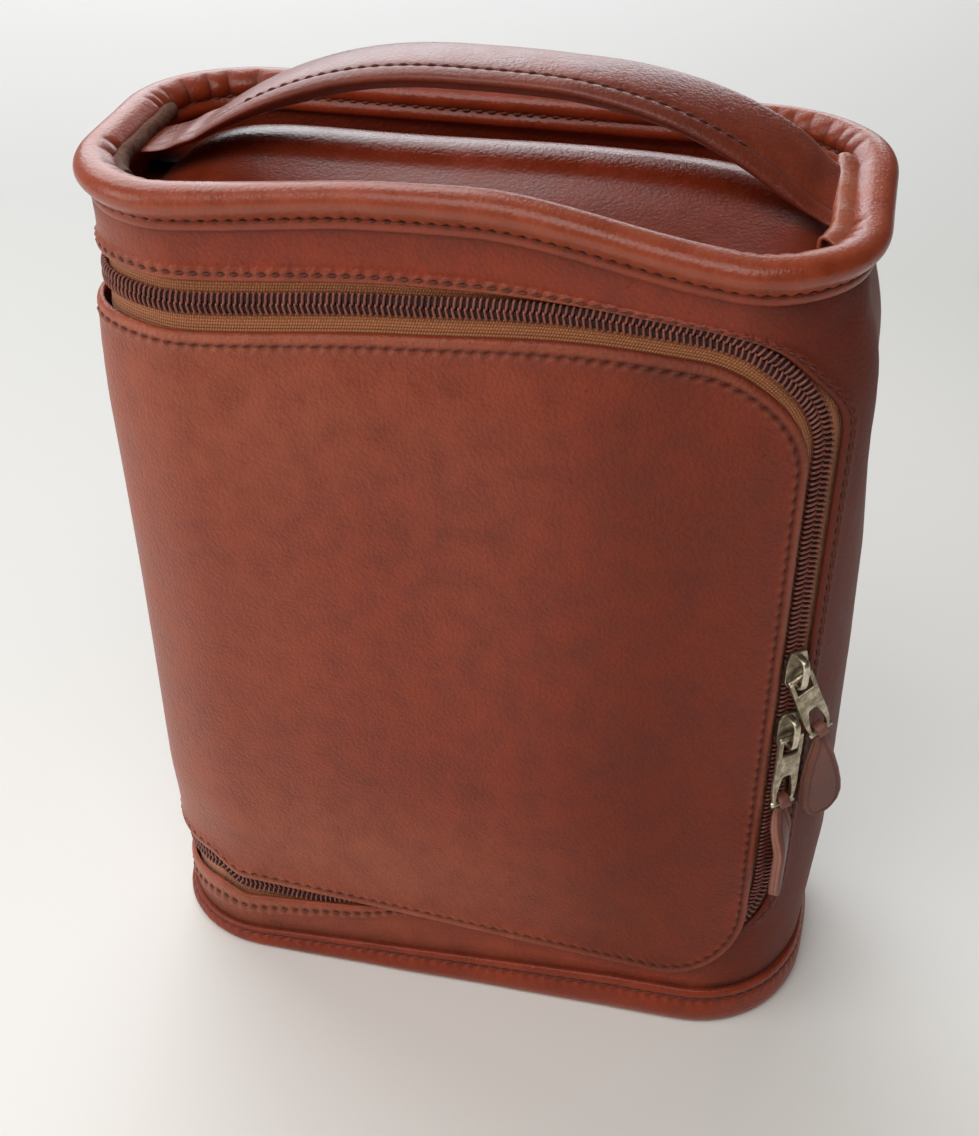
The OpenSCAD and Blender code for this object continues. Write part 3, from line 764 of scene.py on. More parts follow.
raw_edge = fibrous("raw_leather_edge", (0.19, 0.070, 0.034), (0.065, 0.023, 0.012))
thread = fibrous("sewing_thread", (0.17, 0.045, 0.026), (0.07, 0.018, 0.012), 1800.0, 0.0001)
tape_cloth = woven("zip_tape", (0.80, 0.30, 0.11), (0.32, 0.10, 0.036), 0.0007, 0.00018)
lining_cloth = woven("lining_cloth", (0.062, 0.036, 0.026), (0.022, 0.013, 0.010), 0.0005, 0.0001,
                     False)
coil_cord = fibrous("coil_cord", (0.050, 0.013, 0.010), (0.022, 0.007, 0.006), 900.0, 0.0001)
fibre_board = fibrous("fibre_board", (0.62, 0.53, 0.40), (0.40, 0.32, 0.22), 500.0, 0.0001)
cotton = fibrous("cotton_cord", (0.66, 0.60, 0.48), (0.40, 0.35, 0.26), 700.0, 0.0003)
handle_foam = fibrous("handle_foam", (0.10, 0.10, 0.10), (0.03, 0.03, 0.03), 1300.0, 0.0003)
print("cloths and edges ready")

# %% [markdown]
# ### Brass and nylon
#
# The sliders are antiqued: a dark skin over brass that is rubbed bright on every raised edge. The
# wear mask comes from the shape itself, because a corner that sticks out is what a thumb polishes.
# The coil is nylon wire, a little glossy, with the dull film of handling.

# %% The metal group and its materials


def old_metal_group():
    group, given, out = new_group(
        "old_metal", [("Skin", "Color", (0.2, 0.15, 0.09, 1)), ("Bare", "Color", (0.6, 0.5, 0.3, 1)),
                      ("Wear_and_sheen", "Float", 0.0)])
    place = put(group, "ShaderNodeTexCoord").outputs["Object"]
    blotch = noise(group, place, 420.0, 5.0, 0.65)
    pits = noise(group, place, 2600.0, 3.0)
    bright = calc(group, "ADD", given["Wear_and_sheen"], spread(group, blotch, 0.4, 0.75, -0.15, 0.55), True)
    colour = blend_colours(group, bright, given["Skin"], given["Bare"])
    height = calc(group, "ADD", calc(group, "MULTIPLY", pits, 0.00003),
                  calc(group, "MULTIPLY", blotch, 0.00006))
    return give(group, out, colour, spread(group, bright, 0.0, 1.0, 0.48, 0.26), height)


OLD_METAL = old_metal_group()


def brass(name):
    material, tree, shader = start_material(name)
    made = placed_group(tree, OLD_METAL, Skin=(0.26, 0.21, 0.14), Bare=(0.84, 0.76, 0.60))
    tree.links.new(mask(tree, "wear_and_sheen"), made.inputs["Wear_and_sheen"])
    surface(tree, shader, made)
    shader.inputs["Metallic"].default_value = 1.0
    return material


def nylon(name):
    material, tree, shader = start_material(name)
    made = placed_group(tree, FIBRES, Light=(0.30, 0.085, 0.055), Dark=(0.15, 0.040, 0.028),
                        Size=260.0, Depth=0.00002)
    tree.links.new(made.outputs["Colour"], shader.inputs["Base Color"])
    shader.inputs["Roughness"].default_value = 0.3
    bump = put(tree, "ShaderNodeBump", {"Height": made.outputs["Height"], "Distance": 1.0})
    tree.links.new(bump.outputs[0], shader.inputs["Normal"])
    return material


old_brass = brass("old_brass")
coil_nylon = nylon("coil_nylon")
print("metal and nylon ready")

# %% [markdown]
# ## Stitches
#
# Each stitch is its own short arch of thread that dives into the leather at both ends. Real
# stitches could also be a bump on the leather, but a bump has no shadow and no outline, and these
# rows are what the eye follows round the bag. They are all alike, so one function lays any row.

# %% Lay a row of stitches
STITCH_PITCH, STITCH_LENGTH, STITCH_SLANT = 3.36, 2.45, 0.12
THREAD_TAPER = [0.45, 0.8, 1, 1.05, 1, 0.8, 0.45]


def at_distances(values, at, wanted):
    """The values of a path's points, read off at the wanted distances along it."""
    return np.stack([np.interp(wanted, at, values[:, k]) for k in range(values.shape[1])], axis=-1)


def walk(path, normals, pitch, closed=False):
    """Places at an even pitch along a path, with their directions."""
    if closed:
        path = np.vstack([path, path[:1]])
        normals = np.vstack([normals, normals[:1]])
    at = distance_along(path)
    count = max(int(round(at[-1] / pitch)), 1)
    wanted = (np.arange(count) + 0.5) * at[-1] / count
    places, tangents, facing = (at_distances(v, at, wanted) for v in (path, frame_along(path), normals))
    return places, unit(tangents), unit(facing)


def add_stitches(name, path, normals, body, radius=0.32, rise=0.42, closed=False):
    places, tangents, normals = walk(path, normals, STITCH_PITCH, closed)
    across = np.cross(normals, tangents)
    random.seed(len(places))
    q = np.array([-1.0, -0.82, -0.45, 0.0, 0.45, 0.82, 1.0])
    parts = []
    for place, tangent, normal, side in zip(places, tangents, normals, across):
        lean = STITCH_SLANT + random.uniform(-0.06, 0.06)
        run = STITCH_LENGTH * random.uniform(0.94, 1.04)
        way = tangent + side * lean
        line = place + np.outer(q * run / 2, way) + np.outer(rise * (1 - q ** 2) - 0.16, normal)
        parts.append(tube(line, np.cross(normal, way), normal, radius, radius, 6, THREAD_TAPER))
    points, faces = stack_pieces(parts)
    print(name, len(places), "stitches")
    add_piece(name, points, faces, thread, body, slot="leather_edge")


# %% [markdown]
# ## The body's leather
#
# One sheet of leather runs round the corner, the right side and the back. It is open in front, and
# there its edge is turned in and sewn down on the zip's tape, 2 mm from the edge. The edge band is
# made of rings that follow the opening, close together where the leather rolls over, and the rest
# is a coarse net. The seam is where the sheet's two ends meet, at the right of the back.

# %% The body sheet
SEAM_S = NEAR_SIDE + 2 * BEND + 2 * ARC_X + 2 * ARC_Y + CORNER_R * math.radians(35)
LIP_ROW, LIP_SINK, FLAP_ROW = 2.1, 0.9, 3.1
FAR_AWAY = 99.0


def rounded_edge(d, radius):
    """How far a rolled edge has dropped at distance d from its end."""
    t = 1 - np.clip(np.asarray(d, float) / radius, 0, 1)
    return -radius * (1 - np.sqrt(np.clip(1 - t * t, 0, 1)))


def sewn(stitch, d, row):
    """The groove that a row of stitches pulls, and the leather that swells up between them."""
    between = 0.5 + 0.5 * np.cos(TAU * stitch)
    return (0.3 * between * bump_at(d, row + 0.75, 0.65) - 0.62 * (1 - 0.6 * between)
            * bump_at(d, row, 0.6))


def sewn_shade(stitch, d, row):
    """Painted shade: dark in the holes and paler between them."""
    return (0.80 - 0.55 * (0.5 + 0.5 * np.cos(TAU * stitch))) * bump_at(d, row, 0.75)


def sewn_highlight(stitch, d, row):
    """Painted highlight where the leather swells up between two stitches."""
    return 0.4 * (0.5 + 0.5 * np.cos(TAU * stitch)) * bump_at(d, row + 0.7, 0.6)


def lip_profile(d, stitch):
    """How high the body's leather stands at distance d from its edge."""
    return rounded_edge(d, 1.2) + 0.75 * (1 - ease(d, 2.4, 4.4)) + sewn(stitch, d, LIP_ROW)


def merge_sheet(points, faces):
    """Joins points of a flat sheet that lie on each other in their first two columns."""
    keys = np.round(points[:, :2], 3)
    first, index = np.unique(keys, axis=0, return_index=True, return_inverse=True)[1:]
    index = np.ravel(index)
    kept = []
    for face in faces:
        ring = list(dict.fromkeys(int(index[k]) for k in face))
        if len(ring) > 2:
            kept.append(ring)
    return points[first], kept


def lattice(s0, s1, z0, z1, pitch):
    """A staggered net of points over a rectangle, its edges included."""
    columns = np.linspace(s0, s1, int((s1 - s0) / pitch) + 1)
    rows = np.linspace(z0, z1, int((z1 - z0) / pitch) + 1)
    s, z = np.meshgrid(columns, rows)
    step = columns[1] - columns[0]
    s[1::2, 1:-1] += step / 2 * (s[1::2, 1:-1] < s1 - step)
    return np.stack([s.ravel(), z.ravel()], axis=-1)


def stitch_count_along(path, closed=False):
    """How many stitches lie before each point of a path."""
    at = distance_along(np.vstack([path, path[:1]]) if closed else path)
    return at[:len(path)] / at[-1] * int(round(at[-1] / STITCH_PITCH))


def opening_row(share, inset, out, start):
    """A path on the bag along the opening, and the leather's directions there."""
    line = seam_line(share, inset, start)
    if not share:
        out = out - LIP_SINK * tucked_in(line)
    return skin(line[:, 0], line[:, 1], out), skin_normal(line[:, 0], line[:, 1])


def rings_round_opening(share, insets, start):
    """Rings as rows of (s, z, distance from the edge, stitches before this point)."""
    row = opening_row(share, FLAP_ROW if share else -LIP_ROW, 0.4, start)[0]
    stitch = stitch_count_along(row)
    rings = []
    for inset in insets:
        line = seam_line(share, inset, start)
        rings.append(np.column_stack([line, np.full(len(line), abs(inset)), stitch]))
    return np.array(rings)


def facing_out(points, faces):
    """The faces, each turned so that it runs counter-clockwise in the sheet."""
    turned = []
    for f in faces:
        p = points[f, :2]
        area = np.sum(p[:, 0] * np.roll(p[:, 1], -1) - p[:, 1] * np.roll(p[:, 0], -1))
        turned.append(f if area > 0 else f[::-1])
    return turned


def join_net(rings, outline, points, inside, margin, distance):
    """A band of rings and the net beside it, joined along the outline that they share.

    distance gives how far each point of the net lies from the sheet's edge.
    """
    middle = outline.mean(axis=0)
    wider = middle + (outline - middle) * margin
    points = points[inside_outline(points, wider) == inside]
    edges = [(k, (k + 1) % len(outline)) for k in range(len(outline))]
    verts, faces = net(np.vstack([outline, points]), edges,
                       lambda places: inside_outline(places, outline) == inside)
    far = np.column_stack([verts, distance(verts), np.zeros(len(verts))])
    base = rings.shape[0] * rings.shape[1]
    points, faces = merge_sheet(np.vstack([rings.reshape(-1, 4), far]),
                                grid_faces(*rings.shape[:2]) + [[k + base for k in f] for f in faces])
    return points, facing_out(points, faces)


def body_sheet(insets, start, z0, z1, pitch):
    """The unrolled wall with its opening: (s, z, distance from the edge, stitches) and faces."""
    rings = rings_round_opening(0, insets, start)
    hinge_z = np.arange(rings[0, -1, 1] - 4, rings[0, 0, 1] + 2, -4.0)
    hinge = np.column_stack([np.full(len(hinge_z), start), hinge_z])
    hole = np.vstack([rings[-1, :, :2], rings[::-1, -1, :2][1:], hinge, rings[:, 0, :2][:-1]])
    wall = lattice(SEAM_S - LOOP, SEAM_S, z0, z1, pitch)
    return join_net(rings, hole, wall, False, 1.012, lambda verts: np.full(len(verts), FAR_AWAY))


def add_body_leather():
    insets = [0, -0.2, -0.5, -0.9, -1.3, -1.7, -2.1, -2.5, -2.9, -3.5, -4.2, -5.2, -6.0, -6.9, -8.0,
              -9.5]
    points, faces = body_sheet(insets, 0.0, 0.0, 243.0, 3.2)
    s, z, d, stitch = points.T
    out = lip_profile(d, stitch) - LIP_SINK * tucked_in(points) * (1 - ease(d, 5.2, 8.5))
    # painted shade on the right side, which lies in the room's shade; the lip's stitch shade,
    # highlights and wear are weaker there
    right_run = ease(s, FRONT_MIDDLE + 62, FRONT_MIDDLE + 82)
    # painted shade also lies under the rim's roll, at z 243; a dark line runs just above the binding
    seam = (sewn_shade(stitch, d, LIP_ROW) * (1 - 0.6 * right_run) + 0.5 * bump_at(z, 243, 5)
            + 0.9 * bump_at(z, 10, 2.5) + 0.75 * right_run * ease(s, SEAM_S + 10, SEAM_S - 60))
    wear_and_sheen = (0.35 * bump_at(d, 1.3, 0.8) + sewn_highlight(stitch, d, LIP_ROW)) * (1 - 0.7 * right_run)
    # broad painted sheen by the hinge and low in front, where the room's light is reflected
    wear_and_sheen = wear_and_sheen + 0.3 * bump_at(s, 34, 26) + 0.3 * bump_at(s - FRONT_MIDDLE, -40, 70) * ease(z, 30, 10)
    add_piece("body_leather", skin(s, z, out), faces, body_leather, "bag", ["body_wrap"],
              "leather_body", {"seam": seam, "wear_and_sheen": wear_and_sheen}, thickness=0.7)
    print("body leather:", len(points), "points")


add_body_leather()
path, normals = opening_row(0, -LIP_ROW, 0.34, 0.0)
add_stitches("lip_stitches", path, normals, "bag")

# %% [markdown]
# ## The flap
#
# The flap is a padded panel with a turned edge. Between the edge and its row of stitches the
# leather is doubled, so it stands up like a cord, and inside the row it sinks and then swells over
# the padding. All of that is one profile, a height for each distance from the edge.

# %% The flap's leather
FLAP_PROUD = 1.5
FLAP_START = 0.7


def flap_profile(d, stitch, s):
    """How high the flap's leather stands: its turned edge, its stitches and its padding."""
    field = ease(d, 4.5, 34) * ease(s, 0, 45)
    return (FLAP_PROUD + rounded_edge(d, 1.6) + 0.35 * (1 - ease(d, 3.1, 5.7))
            + sewn(stitch, d, FLAP_ROW) + 1.3 * field + 0.8 * ease(d, 25, 75) * ease(s, 20, 80))


def flap_sheet(insets, start, pitch):
    """The flap's flat sheet: (s, z, distance from the edge, stitches) points and faces."""
    rings = rings_round_opening(1, insets, start)
    inner = rings[-1, :, :2]
    side_z = np.arange(inner[-1, 1] - 4, inner[0, 1] + 2, -4.0)
    outline = np.vstack([inner, np.column_stack([np.full(len(side_z), start), side_z])])
    points = lattice(start, outline[:, 0].max(), outline[:, 1].min(), outline[:, 1].max(), pitch)

    def from_edge(verts):
        return insets[-1] + np.array([np.min(np.hypot(*(inner[::6] - v).T)) for v in verts])

    return join_net(rings, outline, points, True, 0.985, from_edge)


def pale_share(s, z):
    """Painted sheen in broad zones: by the hinge, along the top left and low in front."""
    u = s - FRONT_MIDDLE
    hinge_side = 0.30 * bump_at(s, 34, 26) + 0.16 * bump_at(s, 75, 30) * ease(z, 30, 90)
    top_left = 0.16 * bump_at(u, -35, 45) * bump_at(z, 196, 26)
    middle = 0.12 * bump_at(u, 5, 22) * bump_at(z, 165, 60)
    low = 0.44 * bump_at(u, -30, 60) * bump_at(z, 42, 26)
    return hinge_side + top_left + middle + low


def add_flap_leather():
    insets = [0, 0.2, 0.5, 0.9, 1.5, 2.1, 2.6, 3.0, 3.4, 3.8, 4.4, 5.2, 6.4, 8.0, 10.5]
    points, faces = flap_sheet(insets, FLAP_START, 3.2)
    s, z, d, stitch = points.T
    # painted shade in the stitch holes and in a broad band right of the middle, where less light is
    # reflected
    seam = sewn_shade(stitch, d, FLAP_ROW) + 0.6 * bump_at(s - FRONT_MIDDLE, 52, 28)
    # real wear on the edge, painted highlight on the puckers and broad painted sheen
    wear_and_sheen = 0.4 * bump_at(d, 1.4, 0.9) + sewn_highlight(stitch, d, FLAP_ROW) + pale_share(s, z)
    add_piece("flap_leather_panel", skin(s, z, flap_profile(d, stitch, s)), faces, flap_leather,
              "flap", ["flap_leather"], "leather_flap", {"seam": seam, "wear_and_sheen": wear_and_sheen}, thickness=0.8)
    print("flap leather:", len(points), "points")


add_flap_leather()
path, normals = opening_row(1, FLAP_ROW, FLAP_PROUD - 0.2, FLAP_START)
add_stitches("flap_stitches", path, normals, "flap")

# %% [markdown]
# ## The zip
#
# A nylon zip is a pair of woven tapes, each with a coil of wire sewn along its edge, and the turns of
# one coil lock between those of the other. Each coil here is one long flattened spiral, 1.5 mm from
# turn to turn. Modelled teeth cost many points, but this chain crosses the whole front, and its
# glint and its ragged shadow are what tell a zip from a stripe.

# %% Tapes and coils
COIL_PITCH = 1.49
COIL_ASIDE, COIL_HALF_W, COIL_HALF_T, WIRE_R = 1.28, 1.42, 0.62, 0.34
CHAIN_GAP = 0.02
CHAIN_SINK, TAPE_SINK = 1.25, 0.6


def add_tape(name, shares, start, body, node):
    columns = np.linspace(shares[0], shares[1], 7)
    grid = np.array([chain_line(share, start, 1.6) for share in columns])
    along = np.linspace(0, 600, grid.shape[1])
    uv = np.stack(np.broadcast_arrays(along[None, :], columns[:, None] * 11), axis=-1)
    sunk = tucked_in(chain_line(0.5, start, 1.6))
    points = skin(grid[..., 0], grid[..., 1], -1.78 - TAPE_SINK * sunk)
    faces = facing_out(grid.reshape(-1, 2), grid_faces(*grid.shape[:2]))
    add_piece(name, points, faces, tape_cloth, body, [node], "zip_tape", uv=uv, thickness=0.7)


def add_coil(name, side, start, body, node):
    """side is 1 for the flap's coil and -1 for the body's."""
    line = chain_line(0.5, start, 0.5)
    centre = skin(line[:, 0], line[:, 1], -0.62 - CHAIN_SINK * tucked_in(line))
    normal = skin_normal(line[:, 0], line[:, 1])
    at = distance_along(centre)
    turns = int(at[-1] / COIL_PITCH) - 1
    per_turn = 12
    turn = np.arange(turns * per_turn + 1) / per_turn
    place = (turn + (0.5 if side > 0 else 0) + 0.25) * COIL_PITCH
    tangent = frame_along(centre)
    centre, normal, tangent = (at_distances(v, at, place) for v in (centre, normal, tangent))
    # the path climbs from the low end round the right, so the flap lies on its left
    toward_flap = np.cross(normal, tangent)
    angle = TAU * turn * side
    reach = side * COIL_ASIDE + np.cos(angle) * COIL_HALF_W
    path = (centre + toward_flap * reach[:, None] + normal * (COIL_HALF_T * np.sin(angle))[:, None])
    run = frame_along(path)
    across = unit(tangent - np.sum(tangent * run, axis=1, keepdims=True) * run)
    wire = tube(path, across, np.cross(run, across), WIRE_R, WIRE_R, 6)
    cord_line = (centre + toward_flap * side * COIL_ASIDE)[::4]
    filler = tube(cord_line, toward_flap[::4], normal[::4], 1.0, 0.25)
    add_piece(name, *wire, coil_nylon, body, [node], "zip_coil")
    add_piece(name + "_cord", *filler, coil_cord, body, (), "zip_coil")
    print(name, turns, "turns")


add_tape("tape_on_body", (-0.3, 0.5 - CHAIN_GAP), 0.0, "bag", "zip_tape_body")
add_tape("tape_on_flap", (0.5 + CHAIN_GAP, 1.3), 0.4, "flap", "zip_tape_flap")
add_coil("coil_on_body", -1, 0.0, "bag", "zip_coil_body")
add_coil("coil_on_flap", 1, 0.4, "flap", "zip_coil_flap")

# %% [markdown]
# ## The rolled rim
#
# The rim is one section drawn round the bag: a lip and its stitches in front, the roll over the cord,
# and a second row of stitches inside. The leather was cut flat, so where it has to bend tightly
# round the corners it gathers inside in small folds. Those are cut into the section only there.

# %% The rim
RIM_IN, RIM_CORD_R = 2.5, 2.8
RIM_SECTION = [(0.9, -5.7), (1.5, -5.4), (1.8, -4.7), (1.75, -3.9), (1.35, -3.3), (2.0, -2.6),
               (3.3, -1.5), (4.6, 0.2), (4.7, 1.9), (3.5, 3.5), (1.2, 4.3), (-1.2, 4.1),
               (-3.2, 3.0), (-4.3, 1.6), (-4.2, 0.1), (-3.7, -0.8), (-4.3, -1.6), (-4.9, -2.6),
               (-4.7, -3.7), (-4.1, -3.9), (-3.4, -3.3)]
FRONT_ROW, INNER_ROW = (1.35, -3.3), (-3.7, -0.8)


def rim_path(s):
    """The line that the rim's section is drawn along: s, x, y, z, outward x and y, and its bend."""
    x, y, nx, ny = plan(s)
    z = RIM_HEIGHT + rim_wave(x, y)
    bend = np.abs(np.interp(s, OUT_S, np.gradient(OUT_HEADING, OUT_S))) * CORNER_R
    x, y = x - nx * RIM_IN + top_lean(x, RIM_HEIGHT), y - ny * RIM_IN
    return s, x, y, z, nx, ny, np.clip(bend, 0, 1)


def sweep_section(path, section):
    """Points of a section, (out, up), at every step of a path; it may differ from step to step."""
    x, y, z, nx, ny = path[1:6]
    out, up = section[..., 0], section[..., 1]
    return np.stack([x[:, None] + nx[:, None] * out, y[:, None] + ny[:, None] * out,
                     z[:, None] + up], axis=-1)


def section_normals(section):
    """Unit normals of a section, as (out, up), on the side away from its middle."""
    run = np.gradient(section, axis=0)
    return unit(np.stack([-run[:, 1], run[:, 0]], axis=-1))


def gathers(s, bend, share):
    """Folds of the inner leather in the bends; share is 0 to 1 across the folded part."""
    wander = s / 3.3 + 0.8 * np.sin(s / 7.7) + 0.5 * np.sin(s / 4.1 + 1)
    depth = 1.0 * ease(bend, 0.2, 0.8)[:, None] * np.sin(math.pi * share)[None, :] ** 0.7
    fold = 1 - np.abs(np.sin(math.pi * wander / 2))[:, None] ** 0.6
    return -depth * fold


def add_rim(path):
    s, bend = path[0], path[6]
    section = smooth_line(RIM_SECTION, 3)
    normal = section_normals(section)
    if normal[section[:, 1].argmax(), 1] < 0:
        normal = -normal
    inside = np.clip((-section[:, 0] - 0.5) / 3.0, 0, 1) * (section[:, 1] > -1.5)
    share = np.where(inside > 0, np.clip((4.6 - section[:, 1]) / 6.0, 0, 1), 0)
    push = gathers(s, bend, share)
    row = sweep_section(path, np.array([FRONT_ROW]))[:, 0]
    stitch = stitch_count_along(row, closed=True)
    front_puff = 0.2 * np.cos(TAU * stitch)[:, None] * bump_at(section[:, 1], -2.7, 0.9)
    soft = 0.25 * np.sin(s / 23)[:, None] + 0.18 * np.sin(s / 11 + 2)[:, None]
    move = push + front_puff * (section[:, 0] > 0) + soft * bump_at(section[:, 1], 1, 4)
    shifted = section[None] + normal[None] * move[..., None]
    points = sweep_section(path, shifted)
    out, up = section.T
    # painted shade in the stitch grooves, inside under the roll and in the gathered folds
    seam = (0.45 * bump_at(up, FRONT_ROW[1], 0.7) * (out > 0)
            + 0.7 * bump_at(up, INNER_ROW[1], 0.8) * (out < 0)
            + 0.5 * (up < -3.5) * (out < 0))
    # paler on the crest where it rubs, and painted highlight along the crest and the roll's front
    wear_and_sheen = 0.45 * bump_at(up, 5.4, 1.5) + 0.3 * bump_at(up, 0, 3) * (out > 0)
    faces = grid_faces(*points.shape[:2], close_rows=True)
    add_piece("rim_leather", points, faces, smooth_leather, "bag", ["top_rim"], "leather_body",
              {"seam": seam - push * 0.9, "wear_and_sheen": wear_and_sheen}, thickness=0.5)


def add_rim_stitches(path):
    nx, ny = path[4:6]
    for name, row, (out, up) in (("rim_front_stitches", FRONT_ROW, (0.96, -0.25)),
                                 ("rim_inner_stitches", INNER_ROW, (-0.97, 0.1))):
        line = sweep_section(path, np.array([row]))[:, 0]
        normals = unit(np.stack([nx * out, ny * out, np.full(len(nx), up)], axis=-1))
        add_stitches(name, line + normals * 0.3, normals, "bag", closed=True, radius=0.36, rise=0.6)


def add_facing(path):
    """The leather inside the rim, from under the roll down to the sunken top."""
    section = smooth_line([(-3.6, -1.5), (-3.7, -5), (-3.5, -9), (-3.2, -13)], 4)
    points = sweep_section(path, section)
    faces = grid_faces(*points.shape[:2], close_rows=True)
    # painted shade all over the facing, which lies inside the rim
    add_piece("facing_leather", points, faces, body_leather, "bag", ["rim_facing"],
              "leather_body", {"seam": 0.35}, thickness=1.0, offset=1.0)


def add_inner_strip(name, s_range, section, material, wear_and_sheen):
    """A strip along the inside of the rim, sewn over one end of the handle."""
    s = np.arange(*s_range, 0.5)
    ragged = 0.10 * np.sin(s / 0.8) + 0.16 * np.sin(s / 2.7 + 1)
    section = smooth_line(section, 3)
    edge = bump_at(np.arange(len(section)), len(section) - 5, 3)
    shifted = section[None] + np.stack([ragged, 0.6 * ragged], axis=-1)[:, None] * edge[None, :, None]
    shifted[..., 1] += 0.1 * np.sin(s / 1.9)[:, None]
    points = sweep_section(rim_path(s), shifted)
    faces = grid_faces(*points.shape[:2])
    add_piece(name, points, faces, material, "bag", (), "leather_edge",
              {"seam": 0.1, "wear_and_sheen": wear_and_sheen}, thickness=0.8)


def add_rim_cord(path):
    """The soft cord that the rim's leather is rolled round."""
    turn = np.arange(10) / 10 * TAU
    circle = np.stack([RIM_CORD_R * np.cos(turn), 0.3 + RIM_CORD_R * np.sin(turn)], axis=-1)
    points = sweep_section(path, circle)
    faces = grid_faces(*points.shape[:2], close_rows=True, close_cols=True)
    add_piece("rim_filler", points, faces, cotton, "bag", ["rim_cord"], "filler_cord")


round_the_rim = rim_path(all_round(960))
add_rim(round_the_rim)
add_rim_stitches(round_the_rim)
add_facing(round_the_rim)
add_rim_cord(round_the_rim)
add_inner_strip("strip_left", (-14.0, 40.0),
                [(-3.4, 0.6), (-4.5, 1.3), (-5.5, 1.5), (-6.3, 0.9), (-6.5, -0.2), (-5.8, -1.2)],
                raw_edge, 0.8)
add_inner_strip("strip_right", (224.0, 270.0),
                [(-3.4, 0.9), (-4.6, 1.7), (-6.2, 2.4), (-7.4, 2.5), (-8.0, 1.9), (-8.0, -0.6)],
                smooth_leather, 0.75)

# %% [markdown]
# ## The binding round the base
#
# A strip of leather covers the seam between the walls and the base. It is sewn just under its upper
# edge and swells out below the stitches, so the bag seems to stand on a soft cord.

# %% The binding and the base
BINDING_SECTION = [(-1.0, 10.1), (0.3, 10.3), (1.2, 10.2), (1.75, 9.5), (1.85, 8.6), (1.45, 7.7),
                   (1.95, 6.8), (2.5, 5.3), (2.75, 3.4), (2.4, 1.4), (1.4, 0.3), (0.0, 0.02),
                   (-3.5, 0.0), (-6.0, 0.3)]
BINDING_ROW = (1.45, 7.7)
BINDING_TOP, BINDING_WANDERS_AT = 10.3, 9.9


def add_binding():
    s = all_round(960)
    x, y, nx, ny = plan(s)
    section = smooth_line(BINDING_SECTION, 3)
    rise = lift(s, np.full(len(s), BINDING_WANDERS_AT))
    up = section[None, :, 1] + rise[:, None] * (section[None, :, 1] / BINDING_TOP)
    soft = (0.22 * np.sin(s / 13) + 0.15 * np.sin(s / 6.1 + 2))[:, None]
    line = np.stack([x + nx * BINDING_ROW[0], y + ny * BINDING_ROW[0], 0 * x], axis=-1)
    stitch = stitch_count_along(line, closed=True)
    puff = 0.3 * np.cos(TAU * stitch)[:, None] * bump_at(section[:, 1], 6.7, 0.8)
    out = section[None, :, 0] + soft * bump_at(section[:, 1], 4, 3) + puff
    swell = swelling(x, y, 5.0)
    points = np.stack([x[:, None] + nx[:, None] * out + swell[:, None], y[:, None] + ny[:, None] * out,
                       up], axis=-1)
    seam = (0.6 * bump_at(section[:, 1], BINDING_ROW[1], 0.7)
            + 0.6 * bump_at(section[:, 1], BINDING_TOP, 0.6) * (section[:, 0] < 1))
    wear_and_sheen = 0.5 * bump_at(section[:, 1], 1.2, 1.2)
    faces = grid_faces(*points.shape[:2], close_rows=True)
    add_piece("binding_leather", points, faces, body_leather, "bag", ["bottom_binding"],
              "leather_body", {"seam": seam, "wear_and_sheen": wear_and_sheen}, thickness=0.6)
    row = BINDING_ROW[1] + rise * (BINDING_ROW[1] / BINDING_TOP)
    line = np.stack([x + nx * BINDING_ROW[0] + swell, y + ny * BINDING_ROW[0], row], axis=-1)
    normals = unit(np.stack([nx, ny, np.full(len(s), -0.1)], axis=-1))
    add_stitches("binding_stitches", line + normals * 0.05, normals, "bag", closed=True, rise=0.4)


add_binding()

# %% [markdown]
# ## The sunken top
#
# The top's leather is pushed up from inside into a soft ridge. The ridge lies behind the middle and
# catches the window's light, and the leather falls away in front of it down to the rim.

# %% The top's leather
TOP_EDGE = 231.8
RIDGE = smooth_line([(-37.5, TOP_EDGE), (-33, 234.4), (-24, 236.9), (-14, 239.3), (-6, 241.0),
                     (-2.5, 242.0), (0.5, 243.8), (3.5, 244.9), (7, 245.1), (11, 244.4), (16, 242.2),
                     (22, 239.0), (30, 235.4), (37.5, TOP_EDGE)], 6)


def top_height(x, y):
    """A ridge from left to right that dies away at both ends, with a few soft dips."""
    base = np.interp(y, RIDGE[:, 0], RIDGE[:, 1]) - TOP_EDGE
    ends = 1 - np.clip(np.abs(x + 2) / 84, 0, 1) ** 7
    dips = 0.5 * np.sin(x / 19) - 0.7 * ease(x, 0, 60)
    return TOP_EDGE + (base + dips * ease(base, 2, 8)) * ends


def add_top():
    s = all_round(360)
    x, y, nx, ny = plan(s)
    edge = np.stack([x - nx * 4.4 + top_lean(x, 236.0), y - ny * 4.4], axis=-1)
    shares = 1 - np.linspace(0, 1, 60)[:-1] ** 1.05
    points = (edge[None] * shares[:, None, None]).reshape(-1, 2)
    points = np.vstack([points, [[0, 0]]])
    faces = grid_faces(len(shares), len(s), close_cols=True)
    last = (len(shares) - 1) * len(s)
    faces += [[last + k, last + (k + 1) % len(s), len(points) - 1] for k in range(len(s))]
    lifted = np.column_stack([points, top_height(points[:, 0], points[:, 1])])
    rim_side = np.hypot(points[:, 0] / 90, points[:, 1] / 38)
    # painted shade towards the rim and on the slope in front of the ridge, which faces away from the
    # window
    seam = 0.5 * ease(rim_side, 0.85, 1.05) + 0.35 * ease(points[:, 1], 1, -4)
    add_piece("top_sheet", lifted, facing_out(lifted, faces), top_leather, "bag",
              ["top_panel"], "leather_body", {"seam": seam}, thickness=1.0)


add_top()

# %% [markdown]
# ## The handle
#
# The strap is leather folded round a soft core, and it is sewn along its front edge only. It twists
# a little as it falls to the right. It can be tilted by hand, so its two ends are pieces of their own,
# which curve down from the handle to the bag, and the strap is cut where they begin.

